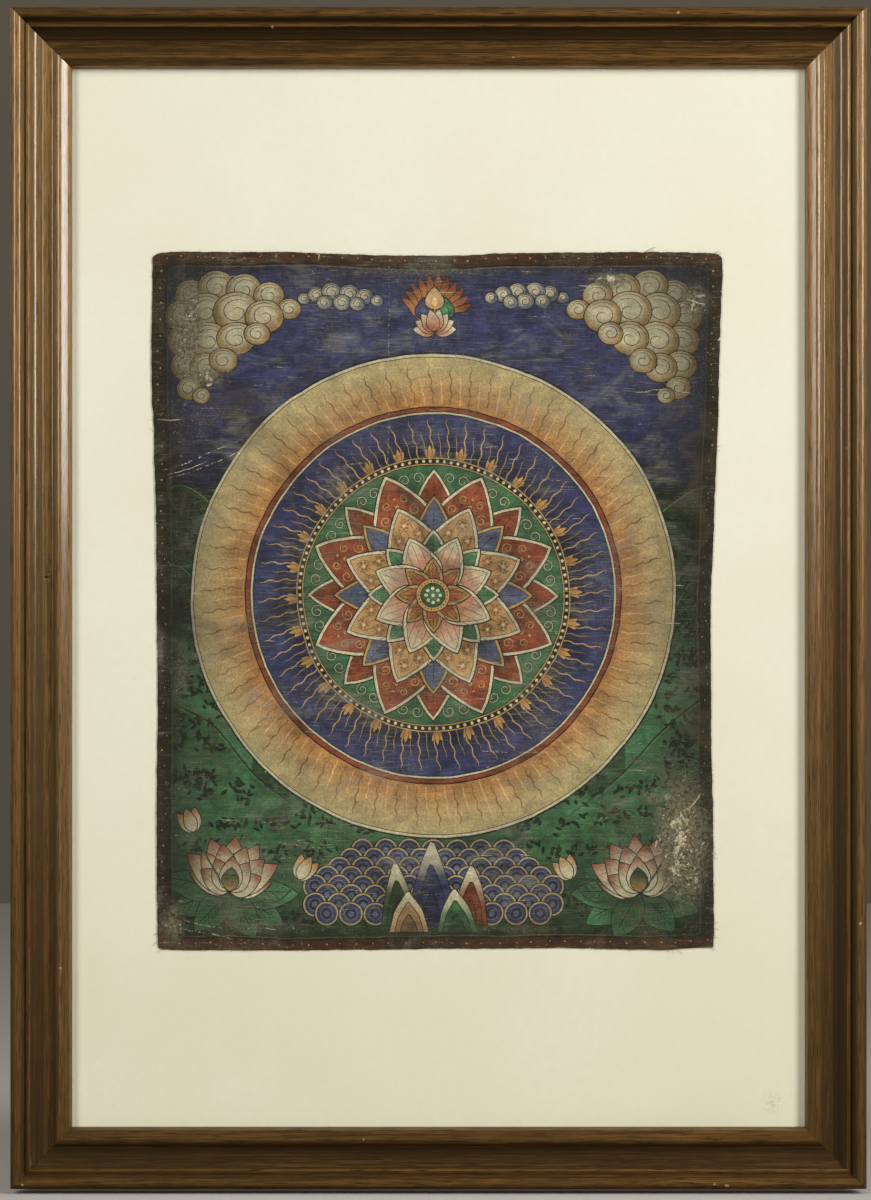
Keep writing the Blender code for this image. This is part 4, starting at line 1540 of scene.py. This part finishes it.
def strand(builder, colours, points, radius, colour, sides=5):
    """Adds one thread along the points, in mm: to the right, over the back, and up from the middle."""
    points = [Vector(point) for point in points]
    rings = []
    for i, point in enumerate(points):
        along = (points[min(i + 1, len(points) - 1)] - points[max(i - 1, 0)]).normalized()
        first = along.orthogonal().normalized()
        second = along.cross(first)
        thin = radius * (0.55 if i in (0, len(points) - 1) else 1.0)
        ring = []
        for k in range(sides):
            turn = 2 * math.pi * k / sides
            x, h, z = point + thin * (first * math.cos(turn) + second * math.sin(turn))
            vert = builder.verts.new((x * MM, -h * MM, (MIDDLE_Z + z) * MM))
            vert[colours] = (*colour, 1.0)
            ring.append(vert)
        rings.append(ring)
    for near_ring, far_ring in zip(rings, rings[1:]):
        for k in range(sides):
            following = (k + 1) % sides
            builder.faces.new((near_ring[k], near_ring[following], far_ring[following], far_ring[k]))
    builder.faces.new(rings[0][::-1])
    builder.faces.new(rings[-1])


def threads_piece(name, draw):
    """One joined mesh of threads, made by draw(builder, colours)."""
    builder = bmesh.new()
    colours = builder.verts.layers.float_color.new("thread")
    draw(builder, colours)
    bmesh.ops.recalc_face_normals(builder, faces=builder.faces)
    mesh = made_mesh(name, builder)
    mesh.shade_smooth()
    piece = set_out(name, mesh)
    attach(piece, "root")
    return piece


def old_thread():
    """Dull, dusty cotton, twisted from fine fibres."""
    n = Nodes("old_thread")
    fibres = n.mottle(n.place(), 2600, 2, 0.6)
    dust = n.mottle(n.place(), 500, 2, 0.6)
    colour = n.mix(1.0, n.attribute("thread").outputs["Color"],
                   n.mix(n.step(fibres, 0.3, 0.7), (0.65, 0.64, 0.62), (1.25, 1.25, 1.25)), "MULTIPLY")
    n.put(n.shader.inputs["Base Color"], n.mix(n.step(dust, 0.5, 0.7, 0.0, 0.3), colour, (0.30, 0.26, 0.18)))
    n.shader.inputs["Roughness"].default_value = 0.92
    n.shader.inputs["Specular IOR Level"].default_value = 0.15
    n.put(n.shader.inputs["Normal"], n.relief(fibres, 0.00005, 0.6))
    return n.material


def draw_stubs(builder, colours):
    """A stub through most of the holes, lying along the seam."""
    for hole_x, hole_z in stitch_holes:
        if stub_random.random() < EMPTY_HOLES:
            continue
        spot = hand_drawn([(hole_x, hole_z)])[0]
        along_top = abs(spot[1]) > 262
        turn = stub_random.uniform(-0.6, 0.6) + (0.0 if along_top else math.pi / 2)
        half = stub_random.uniform(0.55, 1.0)
        face = CLOTH_BACK + lift(*spot) + CLOTH_THICKNESS
        tone = (ROSE if stub_random.random() < 0.4 else SAND) * stub_random.uniform(0.7, 1.1)
        points = []
        for t in np.linspace(-1, 1, 6):
            rise = 0.14 + 0.30 * (1 - t * t)
            x, z = spot + half * t * heading(turn)
            points.append((x, face + rise, z))
        strand(builder, colours, points, STUB_RADIUS * stub_random.uniform(0.75, 1.15), tone)


thread_finish = old_thread()
stitch_ends = threads_piece("old_stitch_ends", draw_stubs)
stitch_ends.data.materials.append(thread_finish)

# ==========================================================================
# Frayed fibres: the cut edge was never hemmed, so its cotton has frayed into
# fine fibres, with a few longer threads that have worked loose.
# ==========================================================================
fray_random = random.Random(31)
LOOSE_THREADS = (  # where it leaves the edge, where it ends, how far it bows, radius, colour
    ((166.0, 277.4), (174.6, 281.8), 0.8, 0.16, HEM_BROWN),
    ((169.0, 277.3), (173.0, 280.0), -0.5, 0.12, HEM_DARK),
    ((221.4, 276.4), (226.0, 278.6), 0.5, 0.14, HEM_DARK),
    ((222.6, 275.8), (227.4, 277.2), -0.4, 0.12, HEM_BROWN),
    ((223.4, 120.6), (226.6, 122.4), 0.4, 0.12, HEM_DARK),
    ((223.3, 118.8), (226.0, 118.0), -0.4, 0.10, OCHRE),
    ((220.4, -204.6), (223.2, -206.6), 0.6, 0.16, HEM_DARK),
    ((220.6, -207.4), (223.0, -210.4), 0.4, 0.12, HEM_BROWN),
    ((221.0, -262.0), (224.4, -259.4), -0.6, 0.10, HEM_DARK),
    ((221.2, -265.8), (225.2, -266.8), 0.5, 0.12, HEM_DARK),
    ((221.0, -270.4), (224.8, -273.4), -0.4, 0.10, HEM_BROWN),
    ((216.8, -280.2), (222.4, -283.4), 0.6, 0.14, HEM_DARK),
    ((190.2, -282.0), (195.6, -286.6), 0.9, 0.15, OCHRE),
    ((187.6, -282.2), (190.2, -286.2), -0.6, 0.13, SAND),
    ((184.8, -282.2), (184.0, -285.4), 0.5, 0.12, OCHRE),
    ((-225.4, -268.6), (-229.0, -270.4), 0.5, 0.14, HEM_DARK),
    ((-225.0, -276.2), (-229.4, -279.8), -0.6, 0.14, HEM_DARK),
    ((-222.6, -282.0), (-226.8, -284.6), 0.5, 0.12, OCHRE),
    ((-229.6, 134.2), (-232.6, 136.0), -0.4, 0.12, HEM_DARK),
    ((-229.8, 143.6), (-233.2, 143.0), 0.3, 0.10, OCHRE),
    ((-96.2, 273.4), (-95.0, 276.8), 0.3, 0.10, CHALK),
)
FRAY_COUNT = 620


def draw_fray(builder, colours):
    """The few long threads, then short fibres all round the edge."""
    for start, end, bow, radius, colour in LOOSE_THREADS:
        start, end = np.array(start), np.array(end)
        inward = (start - end) * 0.35
        across = np.array((-(end - start)[1], (end - start)[0])) / np.linalg.norm(end - start)
        points = []
        for t in np.linspace(0, 1, 9):
            spot = start + inward * (1 - t) ** 3 + (end - start) * t + across * bow * math.sin(math.pi * t)
            wave = across * 0.16 * math.sin(9 * t)
            height = CLOTH_BACK + 0.30 + radius + 0.35 * math.sin(2.4 * t)
            points.append((spot[0] + wave[0], height, spot[1] + wave[1]))
        strand(builder, colours, points, radius, colour * fray_random.uniform(0.8, 1.3))
    for _ in range(FRAY_COUNT):
        k = fray_random.randrange(len(edge))
        root = edge[k] + (edge[(k + 1) % len(edge)] - edge[k]) * fray_random.random()
        along = edge[(k + 1) % len(edge)] - edge[k]
        outward = np.array((along[1], -along[0])) / np.linalg.norm(along)
        if np.dot(outward, root) < 0:
            outward = -outward
        aside = np.array((-outward[1], outward[0])) * fray_random.uniform(-1.2, 1.2)
        reach = 0.35 + 1.5 * fray_random.random() ** 2.5
        shade = fray_random.random()
        pale_share = 0.45 if root[1] < -270 else 0.2  # more of them along the foot
        colour = OCHRE * 0.8 if shade < pale_share else (HEM_BROWN if shade < 0.6 else HEM_DARK)
        points = []
        for t in (0.0, 0.35, 0.7, 1.0):
            spot = root - outward * 0.5 * (1 - t) + outward * reach * t + aside * reach * 0.5 * t * t
            points.append((spot[0], CLOTH_BACK + lift(*root) + 0.16 + 0.1 * math.sin(3 * t), spot[1]))
        radius = fray_random.uniform(0.05, 0.10)
        strand(builder, colours, points, radius, colour * fray_random.uniform(0.7, 1.4), 4)


frayed = threads_piece("frayed_fibres", draw_fray)
frayed.data.materials.append(thread_finish)

# ==========================================================================
# The studio: a pale floor, a strong soft light high on the right and a
# weaker one on the left, seen square on from the photo's distance.
# ==========================================================================
PHOTO_SIZE = (871, 1200)
MM_PER_PIXEL = 0.8
VIEW_DISTANCE = 4.2
FRAME_MIDDLE_IN_PHOTO = (438.5, 598.0)
LAMP_WHITE = (1.0, 0.995, 0.985)
SKY_TINT = (1.0, 0.86, 0.64, 1.0)
SENSOR = 36
FLOOR_HALF = 4.0
FLOOR_DROP = 0.004
floor_z = cad_low.z - FLOOR_DROP
floor_corners = [(x * FLOOR_HALF, y * FLOOR_HALF, floor_z) for x, y in ((-1, -1), (1, -1), (1, 1), (-1, 1))]
floor_mesh = bpy.data.meshes.new("floor")
floor_mesh.from_pydata(floor_corners, [], [(0, 1, 2, 3)])
floor = set_out("floor", floor_mesh)
floor_paint = Nodes("floor_paint")
floor_paint.shader.inputs["Base Color"].default_value = (0.62, 0.61, 0.59, 1.0)
floor_paint.shader.inputs["Roughness"].default_value = 0.8
floor_mesh.materials.append(floor_paint.material)
floor.visible_glossy = False


def softbox(name, offset, width, height, power):
    """A soft light at an offset from the picture's middle, which it faces."""
    data = bpy.data.lights.new(name, "AREA")
    data.shape = "RECTANGLE"
    data.size = width
    data.size_y = height
    data.energy = power
    data.color = LAMP_WHITE
    lamp = set_out(name, data)
    lamp.location = picture_middle + Vector(offset)
    lamp.rotation_mode = "QUATERNION"
    lamp.rotation_quaternion = (picture_middle - lamp.location).to_track_quat("-Z", "Y")


picture_middle = Vector((0, 0, MIDDLE_Z * MM))
softbox("right_softbox", (2.6, -2.0, 1.24), 0.9, 2.3, 106)
softbox("left_softbox", (-2.25, -2.05, 1.22), 0.8, 2.3, 53)

world = bpy.data.worlds.new("studio")
world.use_nodes = True
sky = world.node_tree
sky_height = sky.nodes.new("ShaderNodeSeparateXYZ")
sky.links.new(sky.nodes.new("ShaderNodeTexCoord").outputs["Generated"], sky_height.inputs[0])
sky_fade = sky.nodes.new("ShaderNodeMapRange")
sky_fade.inputs["From Min"].default_value = -0.5
sky_fade.inputs["From Max"].default_value = 0.5
sky_fade.inputs["To Min"].default_value = 0.035
sky_fade.inputs["To Max"].default_value = 0.13
sky.links.new(sky_height.outputs["Z"], sky_fade.inputs["Value"])
sky.links.new(sky_fade.outputs["Result"], sky.nodes["Background"].inputs["Strength"])
sky.nodes["Background"].inputs["Color"].default_value = SKY_TINT
bpy.context.scene.world = world
bpy.context.scene.view_settings.view_transform = "Standard"

lens_data = bpy.data.cameras.new("camera")
camera = set_out("camera", lens_data)
across_mm = (PHOTO_SIZE[0] / 2 - FRAME_MIDDLE_IN_PHOTO[0]) * MM_PER_PIXEL
down_mm = (PHOTO_SIZE[1] / 2 - FRAME_MIDDLE_IN_PHOTO[1]) * MM_PER_PIXEL
camera.location = (across_mm * MM, cad_low.y - VIEW_DISTANCE, (MIDDLE_Z - down_mm) * MM)
camera.rotation_euler = (math.radians(90), 0, 0)
lens_data.sensor_fit = "AUTO"
lens_data.sensor_width = SENSOR
lens_data.lens = SENSOR * VIEW_DISTANCE / (PHOTO_SIZE[1] * MM_PER_PIXEL * MM)
bpy.context.scene.camera = camera
